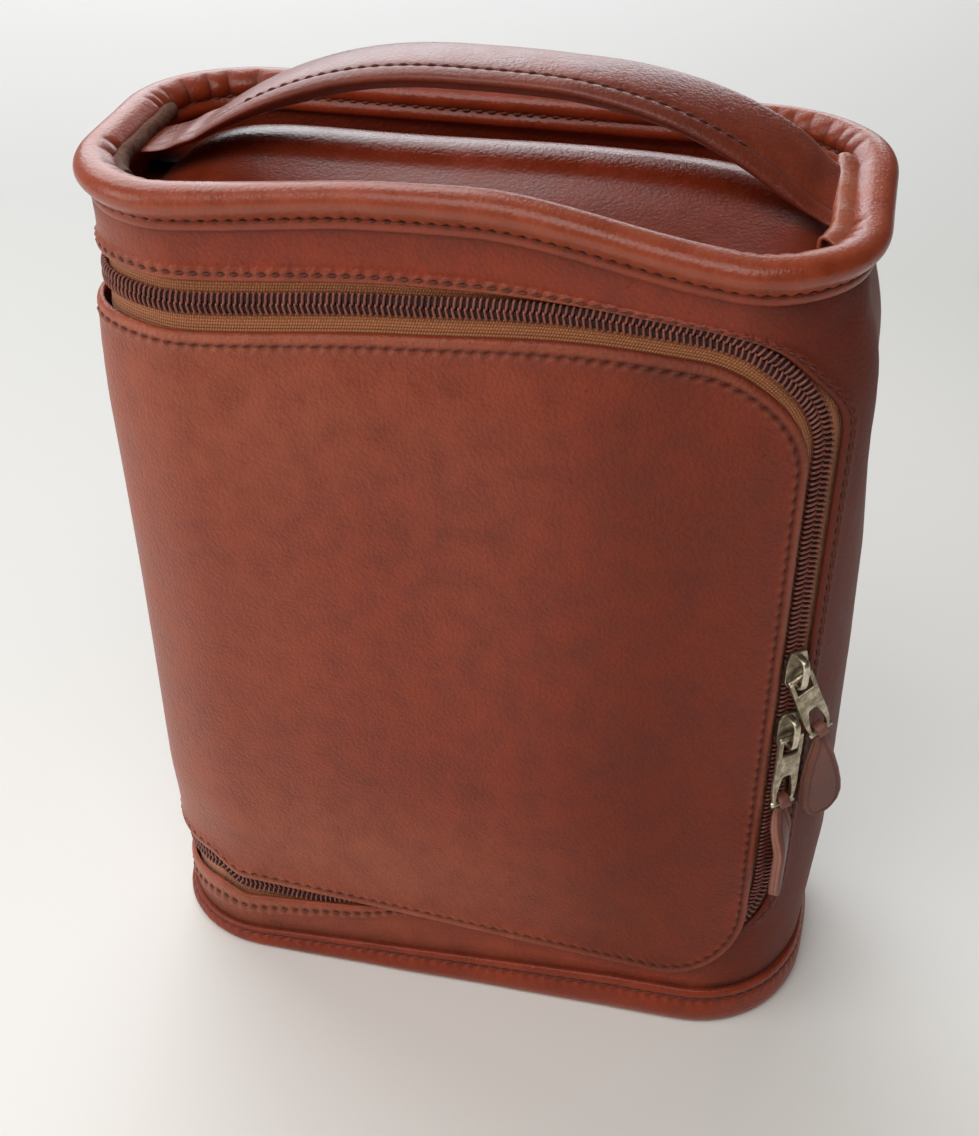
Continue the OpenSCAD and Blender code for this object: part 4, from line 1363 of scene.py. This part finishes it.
# %% The handle's shape
HANDLE_END, HANDLE_FOOT, HANDLE_MID = 74.0, 6.0, -8.0
HANDLE_FOOT_Z, HANDLE_UP = RIM_HEIGHT - 5, 26.0
ARCH_POWER_LEFT, ARCH_POWER_RIGHT = 2.3, 3.0
STRAP_CUT = 60.0
# left of this x the strap levels out towards its foot
STRAP_LEVEL, LEVEL_Z, LEVEL_FALL, LEVEL_REACH = -70.0, 248.6, 10.1, 14
STRAP_SECTION = smooth_line([(-12.0, -2.2), (-12.0, -1.5), (-11.2, -0.8), (-9.4, -0.2),
                             (-7.9, -0.15), (-7.2, -0.5), (-6.4, -0.15), (-4.5, 0.25), (0, 0.5),
                             (5, 0.4), (9, 0.0), (11, -0.6), (12, -1.6), (11.9, -2.6), (10.4, -3.8),
                             (7.5, -5.2), (0, -6.0), (-7.0, -5.4), (-9.6, -4.1), (-11.2, -3.0)], 4)
STRAP_ROW = (-7.2, -0.5)


def arch(x):
    """The height of the strap's line: an arch that is fuller on the right."""
    right = x > HANDLE_MID
    foot = HANDLE_END + HANDLE_FOOT
    reach = np.where(right, foot - HANDLE_MID, foot + HANDLE_MID)
    share = np.clip(np.abs(x - HANDLE_MID) / reach, 0, 1)
    power = np.where(right, ARCH_POWER_RIGHT, ARCH_POWER_LEFT)
    height = HANDLE_FOOT_Z + HANDLE_UP * (1 - share ** power)
    beyond = np.maximum(STRAP_LEVEL - x, 0)
    levelled = LEVEL_Z - LEVEL_FALL * (1 - np.exp(-beyond / LEVEL_REACH))
    return np.where(beyond > 0, levelled, height)


def strap_frame(x):
    """Top point, width share, thickness share and roll of the strap at x."""
    x = np.asarray(x, float)
    roll = np.radians(np.interp(x, [-90, 18, 42, 55, 68, 78, 90], [0, 0, 7, 12, 16, 12, 8]))
    width = np.interp(x, [-92, -84, -74, -60, 90], [0.6, 0.8, 0.94, 1, 1])
    thick = np.interp(x, [-92, -80, -70, -58, -46, 72, 80, 90], [0.25, 0.35, 0.5, 0.8, 1, 1, 0.62, 0.4])
    top = arch(x) + 0.4 + 0.9 * ease(x, 74, 84)
    return top, width, thick, roll


def strap_points(x, section):
    top, width, thick, roll = strap_frame(x)
    slope = np.arctan(strap_frame(x + 0.5)[0] - strap_frame(x - 0.5)[0])
    y = section[None, :, 0] * width[:, None]
    up = section[None, :, 1] * thick[:, None]
    crease = 0.35 * np.sin(x / 2.1)[:, None] * bump_at(np.abs(x), 76, 5)[:, None] * (up > -1)
    up = up + crease
    turned_y = y * np.cos(roll)[:, None] - up * np.sin(roll)[:, None]
    turned_up = y * np.sin(roll)[:, None] + up * np.cos(roll)[:, None]
    return np.stack([x[:, None] - turned_up * np.sin(slope)[:, None], turned_y,
                     top[:, None] + turned_up * np.cos(slope)[:, None]], axis=-1)


def add_strap(name, x0, x1, replaces, body=None):
    """One length of the strap, closed where it doesn't meet the next one."""
    x = np.linspace(x0, x1, int((x1 - x0) / 0.8) + 1)
    points = strap_points(x, STRAP_SECTION)
    rows, cols = points.shape[:2]
    faces = grid_faces(rows, cols, close_cols=True)
    if x0 < -STRAP_CUT:
        faces.append(list(range(cols))[::-1])
    if x1 > STRAP_CUT:
        faces.append([(rows - 1) * cols + k for k in range(cols)])
    y, up = STRAP_SECTION.T
    seam = 0.45 * (bump_at(y, STRAP_ROW[0], 0.7) * (up > -1) + 0.5 * (y < -8.5))
    worn_back = 0.4 * bump_at(y, 11.3, 1.2) * (up > -2)
    return add_piece(name, points, faces, handle_leather, body, replaces, "leather_handle",
                     {"seam": seam, "wear_and_sheen": worn_back})


def add_handle():
    add_strap("strap_middle", -STRAP_CUT, STRAP_CUT, ["handle_strap"], "handle")
    x = np.arange(-STRAP_CUT, STRAP_CUT + 0.1, 2.0)
    turn = np.arange(12) / 12 * TAU
    inner = np.stack([8.5 * np.cos(turn), -2.9 + 1.6 * np.sin(turn)], axis=-1)
    points = strap_points(x, inner)
    add_piece("handle_filler", points, capped_faces(*points.shape[:2]), handle_foam, "handle",
              ["handle_core"], "foam")
    left = add_strap("strap_left", -91.0, -STRAP_CUT, ["handle_end_left"])
    right = add_strap("strap_right", STRAP_CUT, 82.6, ["handle_end_right"])
    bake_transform(left)
    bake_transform(right)
    x = np.arange(-STRAP_CUT, STRAP_CUT, 0.5)
    row = strap_points(x, np.array([STRAP_ROW, (STRAP_ROW[0], STRAP_ROW[1] + 1)]))
    normals = unit(row[:, 1] - row[:, 0])
    add_stitches("strap_stitches", row[:, 0] + normals * 0.22, normals, "handle")


add_handle()

# %% [markdown]
# ## Metal parts with worn edges
#
# Cast zip parts are never sharp. Each part is a simple solid whose edges are bevelled, and then
# every point gets a number that says how much it sticks out of its surroundings. The brass is dark
# where that number is low and rubbed bright where it is high, as years of fingers leave it.

# %% Helpers for the sliders
ZIP_X, ZIP_Z = 84.0, (132.0, 112.0)
ZIP_FACE = math.asin((ZIP_X - ARC_X) / CORNER_R)
ZIP_Y = -ARC_Y - CORNER_R * math.cos(ZIP_FACE)
BAR_Y, BAR_Z = -3.0, -1.6
PULL_LENGTH = 22.5


def turned(points, axis, angle):
    c, s = math.cos(angle), math.sin(angle)
    x, y, z = np.asarray(points, float).T
    if axis == "Y":
        return np.stack([x * c + z * s, y, z * c - x * s], axis=-1)
    return np.stack([x * c - y * s, x * s + y * c, z], axis=-1)


def on_chain(points, height):
    """Points of a slider, turned to face as the zip does there and put on the chain."""
    return turned(points, "Z", ZIP_FACE) + [ZIP_X, ZIP_Y, height]


def on_bar(points, height, tilt):
    """Points of a pull, tilted and hung on its slider's bar."""
    return on_chain(turned(points, "Y", -tilt) + [0, BAR_Y, BAR_Z], height)


def plate(outline, y0, y1):
    """A flat solid whose outline is given as (x, z) points, counter-clockwise seen from the front."""
    n = len(outline)
    front = [(x, y0, z) for x, z in outline]
    back = [(x, y1, z) for x, z in outline]
    faces = [list(range(n)), [n + k for k in range(n)][::-1]]
    faces += [[k, n + k, n + (k + 1) % n, (k + 1) % n] for k in range(n)]
    return np.array(front + back), faces


def ring_plate(outer, inner, y0, y1):
    """A flat solid with one hole; both outlines have the same number of points."""
    n = len(outer)
    rings = [[(x, y, z) for x, z in line] for y in (y0, y1) for line in (outer, inner)]
    points = np.array(rings).reshape(-1, 3)
    faces = []
    for k in range(n):
        m = (k + 1) % n
        faces.append([k, m, n + m, n + k])
        faces.append([2 * n + k, 3 * n + k, 3 * n + m, 2 * n + m])
        faces.append([k, 2 * n + k, 2 * n + m, m])
        faces.append([n + k, n + m, 3 * n + m, 3 * n + k])
    return points, faces


def rounded_outline(corners, steps=5):
    """An outline with rounded corners, from (x, z, radius) corners in order."""
    line = []
    count = len(corners)
    for k in range(count):
        here, before, after = (np.array(corners[j % count][:2], float) for j in (k, k - 1, k + 1))
        radius = corners[k][2]
        a = here + (before - here) / np.linalg.norm(before - here) * radius
        b = here + (after - here) / np.linalg.norm(after - here) * radius
        for t in np.linspace(0, 1, steps):
            line.append(tuple(a * (1 - t) ** 2 + here * 2 * t * (1 - t) + b * t ** 2))
    return line


def bevelled(points, faces, width=0.3, segments=3, cut=0):
    """The solid's points and faces once its edges are rounded."""
    mesh = bpy.data.meshes.new("rough")
    mesh.from_pydata(np.asarray(points).tolist(), [], faces)
    rough = bpy.data.objects.new("rough", mesh)
    scene.collection.objects.link(rough)
    bevel = rough.modifiers.new("bevel", "BEVEL")
    bevel.width, bevel.segments = width, segments
    bevel.limit_method = "ANGLE"
    bevel.angle_limit = math.radians(25)
    bevel.use_clamp_overlap = True
    if cut:
        finer = rough.modifiers.new("finer", "SUBSURF")
        finer.subdivision_type = "SIMPLE"
        finer.levels = cut
    result = rough.evaluated_get(bpy.context.evaluated_depsgraph_get()).to_mesh()
    made = (np.array([v.co[:] for v in result.vertices]), [list(p.vertices) for p in result.polygons])
    bpy.data.objects.remove(rough)
    bpy.data.meshes.remove(mesh)
    return made


def edge_wear(points, faces, strength=2.6):
    """How far each point sticks out of its neighbours, from 0 to 1."""
    mesh = bpy.data.meshes.new("measured")
    mesh.from_pydata(np.asarray(points).tolist(), [], faces)
    normals = np.array([v.normal[:] for v in mesh.vertices])
    edges = np.array([e.vertices[:] for e in mesh.edges])
    bpy.data.meshes.remove(mesh)
    way = points[edges[:, 1]] - points[edges[:, 0]]
    way /= np.maximum(np.linalg.norm(way, axis=1, keepdims=True), 1e-9)
    total, count = np.zeros(len(points)), np.zeros(len(points))
    for end, sign in ((edges[:, 0], 1), (edges[:, 1], -1)):
        np.add.at(total, end, -np.sum(way * sign * normals[end], axis=1))
        np.add.at(count, end, 1)
    return np.clip(total / np.maximum(count, 1) * strength, 0, 1)


def add_metal(name, parts, place, body, node):
    points, faces = stack_pieces(parts)
    add_piece(name, place(points), faces, old_brass, body, [node], "antique_brass",
              {"wear_and_sheen": edge_wear(points, faces)})


# %% [markdown]
# ## Sliders and pulls
#
# The two sliders stand nose to nose on the chain. A slider is two plates that grip the chain, with
# rims turned down at the sides, and a bridge like a small handle on top. The pull hangs from a bar
# under that bridge, and the upper pull leans aside because the lower slider is in its way.

# %% Sliders and pulls
SLIDER_HALF_L, SLIDER_HALF_W, PLATE_T, FACE = 5.5, 3.2, 1.2, 0.3


def slider_outline(grow=0.0):
    """A slider's plate: drawn in at the heel and wide at the nose."""
    w, h = SLIDER_HALF_W + grow, SLIDER_HALF_L + grow
    right = [(w - 0.9, -h, 0.8), (w, -h + 2.6, 1.2), (w, h - 1.6, 1.0), (w - 1.4, h, 1.0)]
    left = [(-x, z, radius) for x, z, radius in right[::-1]]
    return rounded_outline(left[-1:] + right + left[:-1], 4)


def bridge_parts():
    """The arched bridge on a slider's front plate."""
    top = -FACE - PLATE_T
    crown = [(-4.1, top + 0.3), (-4.25, top - 1.4), (-3.9, top - 2.8), (-2.6, top - 3.45),
             (0, top - 3.6), (2.6, top - 3.45), (3.9, top - 2.8), (4.25, top - 1.4), (4.1, top + 0.3)]
    line = smooth_line([(0, y, z) for z, y in crown], 4)
    across = np.repeat([[1.0, 0, 0]], len(line), axis=0)
    tangent = frame_along(line)
    up = np.cross(tangent, across)
    swell = 1 + 0.25 * np.abs(np.linspace(-1, 1, len(line))) ** 3
    rings = []
    for p, u, k in zip(line, up, swell):
        w, t = 0.9 * k, 0.5
        rings.append([p + [x, 0, 0] + u * y for x, y in
                      ((-w, -t * 0.6), (-w * 0.7, -t), (w * 0.7, -t), (w, -t * 0.6), (w, t * 0.5),
                       (w * 0.6, t), (-w * 0.6, t), (-w, t * 0.5))])
    return [(np.array(rings).reshape(-1, 3), capped_faces(len(rings), len(rings[0])))]


def slider_parts(nose_up):
    """Two plates, the flanges at their sides, the post between them and the bridge for the pull."""
    top = -FACE - PLATE_T
    under = 3.0
    parts = [bevelled(*plate(slider_outline(), top, -FACE), width=0.42, segments=4, cut=1),
             bevelled(*plate(slider_outline(-0.15), under, under + 1.0), width=0.35, segments=3)]
    for side in (-1, 1):
        x0 = side * (SLIDER_HALF_W - 0.3)
        flange = rounded_outline([(x0 - 0.3, -3.0, 0.2), (x0 + 0.3, -3.0, 0.2), (x0 + 0.3, 3.6, 0.2),
                                  (x0 - 0.3, 3.6, 0.2)], 2)
        parts.append(bevelled(*plate(flange, -FACE - 0.2, FACE + 0.35), width=0.12, segments=2))
    # the post between the plates slants as the gap between the coils does
    slant, y0, y1 = math.tan(ZIP_FACE), -0.5, 3.2
    post = [(y0 * slant - 0.25, y0, 2.9), (y0 * slant + 0.25, y0, 2.9), (y1 * slant + 0.25, y1, 2.9),
            (y1 * slant - 0.25, y1, 2.9)]
    post += [(x, y, z + 2.0) for x, y, z in post]
    parts.append((np.array(post), [[3, 2, 1, 0], [4, 5, 6, 7], [0, 1, 5, 4], [1, 2, 6, 5],
                                   [2, 3, 7, 6], [3, 0, 4, 7]]))
    if not nose_up:
        parts = [(p * [1, 1, -1], [f[::-1] for f in faces]) for p, faces in parts]
    return parts + bridge_parts()


def cross_bar(half, z, radius):
    """A round bar from side to side of a pull."""
    path = np.array([np.linspace(-half, half, 9), np.zeros(9), np.full(9, z)]).T
    return tube(path, (0, 1, 0), (0, 0, 1), radius, radius, 14)


def both_sides(left):
    """An outline from its left half and that half's mirror image."""
    return rounded_outline(left + [(-x, z, radius) for x, z, radius in left[::-1]], 8)


def pull_parts():
    """The frame that a thumb holds, its bar in the slider and the bar that the leather hangs on."""
    w, flare, t = 3.55, 0.35, 0.68
    end = -PULL_LENGTH
    frame_outer = both_sides([(-w, -5.6, 0.9), (-w - flare, end + 4, 3.0), (-w + 0.7, end - 0.6, 1.3)])
    frame_hole = both_sides([(-1.2, end + 9.6, 1.0), (-2.35, end + 4, 1.6), (-2.2, end + 1.1, 0.7)])
    parts = [bevelled(*ring_plate(frame_outer, frame_hole, -t, t), width=0.4, segments=3),
             cross_bar(w - 0.1, 0.0, 0.78)]
    for side in (-1, 1):
        arm = rounded_outline([(side * (w - 1.05), -6.6, 0.1), (side * w, -6.6, 0.1),
                               (side * w, 0.75, 0.5), (side * (w - 1.05), 0.75, 0.4)][::side], 4)
        parts.append(bevelled(*plate(arm, -t, t), width=0.34, segments=3))
    return parts + [cross_bar(3.5, end, 0.86)]


UPPER_TILT, TAB_LEAN = math.radians(24), math.radians(16)
for which, height, tilt in (("upper", ZIP_Z[0], UPPER_TILT), ("lower", ZIP_Z[1], 0.0)):
    add_metal(f"slider_{which}_metal", slider_parts(nose_up=which == "lower"),
              lambda p: on_chain(p, height), f"{which}_slider", f"slider_{which}")
    add_metal(f"pull_{which}_metal", pull_parts(), lambda p: on_bar(p, height, tilt),
              f"{which}_pull", f"pull_{which}")

# %% [markdown]
# ## Leather tabs
#
# A tab is one strap of leather, looped through the eye and glued to itself, so it is twice as thick
# as the leather. Its cut edges were never painted: they show two raw layers with a line between.

# %% The tabs
TAB_LENGTH, TAB_T = 31.0, 3.0


def tab_half_width(q):
    """Half the tab's width at a share q of its length below the eye."""
    marks = [0, 0.05, 0.14, 0.3, 0.5, 0.68, 0.8, 0.9, 0.96, 0.99, 1.0]
    widths = [1.6, 1.7, 2.3, 3.9, 5.3, 6.1, 6.15, 5.2, 3.5, 1.7, 0.35]
    return np.interp(q, marks, widths)


def add_tab(name, body, node, place, lean, twist=0.0, bow=0.0):
    """A tab that hangs at a lean, twists on its way down and bows away from the bag."""
    rows, cols = 72, 25
    q = (1 - np.cos(np.linspace(0, math.pi, rows))) / 2
    q = 0.5 * q + 0.5 * np.linspace(0, 1, rows)
    across = np.linspace(-1, 1, cols)
    down = 1.5 + q * (TAB_LENGTH - 1.5)
    half = tab_half_width(q)
    edge = np.abs(across)[None, :] * half[:, None]
    inset = half[:, None] - edge
    end_inset = (TAB_LENGTH - down)[:, None]
    near = np.minimum(inset, end_inset)
    thick = TAB_T / 2 * (1 - 0.16 * (1 - ease(near, 0, 0.5)) - 0.13 * bump_at(near, 1.35, 0.3))
    thick = thick * (0.62 + 0.38 * ease(down, 1.5, 5))[:, None]
    sheets = []
    for side in (-1, 1):
        x = across[None, :] * half[:, None]
        z = -down[:, None] + 0 * x
        sheets.append(np.stack([x, side * thick, z], axis=-1))
    front, back = sheets
    edge_rows = []
    for column in (-1, 0):
        for t in (0.28, 0.46, 0.5, 0.54, 0.72):
            row = front[:, column] * (1 - t) + back[:, column] * t
            bulge = 0.16 * math.sin(math.pi * t) - 0.3 * math.exp(-((t - 0.5) / 0.035) ** 2)
            row = row + np.array([1.0 if column else -1.0, 0, 0]) * bulge
            edge_rows.append((column, t, row))
    right = [row for column, t, row in edge_rows if column]
    left = [row for column, t, row in edge_rows if not column][::-1]
    loop = np.concatenate([front.transpose(1, 0, 2), right, back.transpose(1, 0, 2)[::-1], left])
    loop = loop.transpose(1, 0, 2)
    n = loop.shape[1]
    faces = capped_faces(rows, n)
    seam = np.zeros((rows, n))
    seam[:, :cols] = 0.5 * bump_at(near, 1.35, 0.35)
    seam[:, cols + 5:2 * cols + 5] = seam[:, :cols][:, ::-1]
    raw = np.zeros((rows, n))
    raw[:, cols:cols + 5] = 1
    raw[:, 2 * cols + 5:] = 1
    turn = twist * ease(q, 0.0, 0.45)[:, None]
    x, y, z = np.moveaxis(loop, -1, 0)
    curled = y * np.cos(turn) + x * np.sin(turn) - bow * ease(q, 0.0, 0.5)[:, None]
    loop = np.stack([x * np.cos(turn) - y * np.sin(turn), curled, z], axis=-1)
    points = turned(loop.reshape(-1, 3), "Y", lean)
    fold = np.linspace(-0.2, math.pi + 0.2, 15)
    ring = []
    for a in fold:
        for r in (1.25, 2.25):
            for x in (-1.6, 1.6):
                ring.append((x, -r * math.cos(a), r * math.sin(a)))
    ring = np.array(ring).reshape(15, 2, 2, 3)
    band = np.stack([ring[:, 0, 0], ring[:, 1, 0], ring[:, 1, 1], ring[:, 0, 1]], axis=1)
    band_points, band_faces = bevelled(band.reshape(-1, 3), capped_faces(15, 4), width=0.25,
                                       segments=2)
    all_points, all_faces = stack_pieces([(points, faces), (band_points, band_faces)])
    extra = np.zeros(len(band_points))
    add_piece(name, place(all_points), all_faces, tab_leather, body, [node], "leather_tab",
              {"seam": np.concatenate([seam.ravel(), extra]),
               "wear_and_sheen": np.concatenate([0.6 * raw.ravel(), extra + 0.3])})


add_tab("tab_upper_leather", "upper_tab", "pull_tab_upper",
        lambda p: on_bar(p + [0, 0, -PULL_LENGTH], ZIP_Z[0], UPPER_TILT), TAB_LEAN)
add_tab("tab_lower_leather", "lower_tab", "pull_tab_lower",
        lambda p: on_bar(p + [0, 0, -PULL_LENGTH], ZIP_Z[1], 0.0), 0.0, math.radians(46), 2.6)

# %% [markdown]
# ## Inside, behind and beneath
#
# The flap opens and the bag can be turned round, so the pieces that the photo hides are dressed as
# well: the cloth lining and its pocket, the leather over the hinge, the raw seam at the back, the
# ends of the zip and the base.

# %% Linings, pocket and hinge
LINING_T = 0.5
POCKET_HALF_W, POCKET_LOW, POCKET_TOP, POCKET_WALL = 61.0, 22.0, 131.0, 35.6
HINGE_S, HINGE_Z = (-12, 10), (27, 209)
ZIP_STOP_S, ZIP_STOP_HALF_L = (-8.2, -0.2), 5.0


def behind(s, z, depth, free, share=1.0):
    """The place of an inner sheet: at its depth, and deeper where the leather sinks beyond free."""
    return depth - share * np.clip(drape(s, z) - free, 0, 3)


def filled_ring(inset, shares, height=0.0):
    """The area inside the walls in rings that shrink towards the middle: (x, y) points and faces."""
    x, y, nx, ny = plan(all_round(300))
    edge = np.stack([x - nx * inset + top_lean(x, height), y - ny * inset], axis=-1)
    faces = grid_faces(len(shares), len(x), close_cols=True)
    faces.append([(len(shares) - 1) * len(x) + k for k in range(len(x))])
    return (edge[None] * shares[:, None, None]).reshape(-1, 2), faces


def add_body_lining():
    points, faces = body_sheet([-0.6, -1.5, -3.0, -6.0, -9.5], 0.8, 5.5, 228.0, 5.0)
    s, z = points[:, :2].T
    add_piece("body_lining_cloth", skin(s, z, behind(s, z, -3.4, 1.5, 0.9)), faces,
              lining_cloth, "bag", ["body_lining"], "lining", uv=points[:, :2], thickness=LINING_T)
    shares = np.linspace(1, 0.06, 18)
    for name, height, drop in (("lining_floor", 5.4, 0.0), ("lining_ceiling", 227.0, 2.5)):
        flat, faces = filled_ring(3.5, shares, height)
        sag = drop * (1 - np.repeat(shares, len(flat) // len(shares)) ** 2)
        add_piece(name, np.column_stack([flat, height - sag]), faces, lining_cloth, "bag", (),
                  "lining", uv=flat, thickness=LINING_T)


def add_flap_lining():
    points, faces = flap_sheet([-1.6, -0.8, 0.4, 2.0, 5.0], 1.2, 6.0)
    s, z = points[:, :2].T
    add_piece("flap_lining_cloth", skin(s, z, behind(s, z, -3.3, 1.3)), faces, lining_cloth,
              "flap", ["flap_lining"], "lining", uv=points[:, :2], thickness=LINING_T)
    points, faces = flap_sheet([7.0, 7.6, 9.0], 12.5, 8.0)
    s, z = points[:, :2].T
    add_piece("flap_stiffener", skin(s, z, behind(s, z, -0.2, 1.3)), faces, fibre_board,
              "flap", ["flap_board"], "board", thickness=1.1)


def add_pocket():
    """A slip pocket on the back wall, whose cloth bellies out most near its hem."""
    x = np.linspace(-POCKET_HALF_W, POCKET_HALF_W, 42)
    z_grid, x_grid = np.meshgrid(np.linspace(POCKET_LOW, POCKET_TOP, 38), x, indexing="ij")
    side = ease(np.abs(x_grid), POCKET_HALF_W + 0.5, POCKET_HALF_W - 4)
    top = ease(z_grid, 60, POCKET_TOP)
    belly = 0.5 + 1.4 * top + 0.3 * np.sin(x_grid / 9) * top
    depth = POCKET_WALL - belly * side * ease(z_grid, POCKET_LOW, POCKET_LOW + 5)
    add_piece("pocket_cloth", np.stack([x_grid, depth, z_grid], axis=-1),
              grid_faces(*x_grid.shape), lining_cloth, "bag", ["inner_pocket"], "lining",
              uv=np.stack([x_grid, z_grid], axis=-1), thickness=0.8)
    hem = np.column_stack([x, depth[-1] - 0.1, np.full(len(x), POCKET_TOP)])
    points, faces = tube(hem, (0, 1, 0), (0, 0, 1), 0.75, 2.6, 10)
    add_piece("pocket_hem", points, faces, body_leather, "bag", (), "leather_body")


def sewn_strip(name, s_range, z_range, out, pitch, node, body, thickness, groove, worn):
    """A rectangle of leather on the walls. groove and worn: strength, place from the edge and width."""
    s, z = (np.linspace(low, high, int((high - low) / pitch) + 2) for low, high in (s_range, z_range))
    z_grid, s_grid = np.meshgrid(z, s, indexing="ij")
    flat = np.stack([s_grid, z_grid], axis=-1)
    edge = np.minimum(np.minimum(s_grid - s[0], s[-1] - s_grid),
                      np.minimum(z_grid - z[0], z[-1] - z_grid))
    masks = {kind: strength * bump_at(edge, place, width)
             for kind, (strength, place, width) in (("seam", groove), ("wear_and_sheen", worn))}
    faces = facing_out(flat.reshape(-1, 2), grid_faces(*s_grid.shape))
    return add_piece(name, skin(s_grid, z_grid, out), faces, body_leather, body, [node],
                     "leather_body", masks, uv=flat, thickness=thickness)


def add_hinge_leather():
    strip = sewn_strip("hinge_leather", HINGE_S, HINGE_Z, 1.7, 1.2, "hinge_strip", None, 1.2,
                       (0.7, 2.6, 0.5), (0.4, 0.4, 0.5))
    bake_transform(strip)


def add_back_seam():
    z = np.arange(9.5, 186.0, 0.7)
    section = np.array([(-1.6, 0.0), (-1.5, 1.0), (-1.1, 2.0), (-0.4, 2.25), (0.0, 1.85), (0.4, 2.25),
                        (1.1, 2.0), (1.5, 1.0), (1.6, 0.0)])
    normal = skin_normal(np.full(len(z), SEAM_S), z)
    base = skin(SEAM_S, z)
    along = unit(skin(SEAM_S + 0.5, z) - skin(SEAM_S - 0.5, z))
    wobble = (0.12 * np.sin(z / 2.3) + 0.1 * np.sin(z / 0.9))[:, None]
    points = np.stack([base + along * (across + wobble * 0.5) + normal * (out + wobble - 0.15)
                       for across, out in section], axis=1)
    add_piece("back_welt", points, grid_faces(*points.shape[:2]), raw_edge, "bag",
              ["back_seam_welt"], "leather_edge", flip=True)
    line = base + along * -3.4 + normal * 0.15
    add_stitches("back_stitches", line, normal, "bag")


def add_zip_ends():
    for name, node, middle in (("zip_stop_upper", "zip_end_upper", OPENING_HIGH - ZIP_HIGH / 2),
                               ("zip_stop_lower", "zip_end_lower", OPENING_LOW + ZIP_LOW / 2)):
        sewn_strip(name, ZIP_STOP_S, (middle - ZIP_STOP_HALF_L, middle + ZIP_STOP_HALF_L), 1.5, 0.5,
                   node, "bag", 1.1, (0.8, 1.6, 0.4), (0.5, 0.2, 0.4))


def add_base():
    flat, faces = filled_ring(2.0, np.linspace(1, 0.05, 24))
    height = 0.35 + 0.125 * np.sin(flat[:, 0] / 17) * np.cos(flat[:, 1] / 11)
    add_piece("base_leather", np.column_stack([flat, height]), faces, body_leather, "bag",
              ["bottom_panel"], "leather_body", flip=True, thickness=1.2)


add_body_lining()
add_flap_lining()
add_pocket()
add_hinge_leather()
add_back_seam()
add_zip_ends()
add_base()
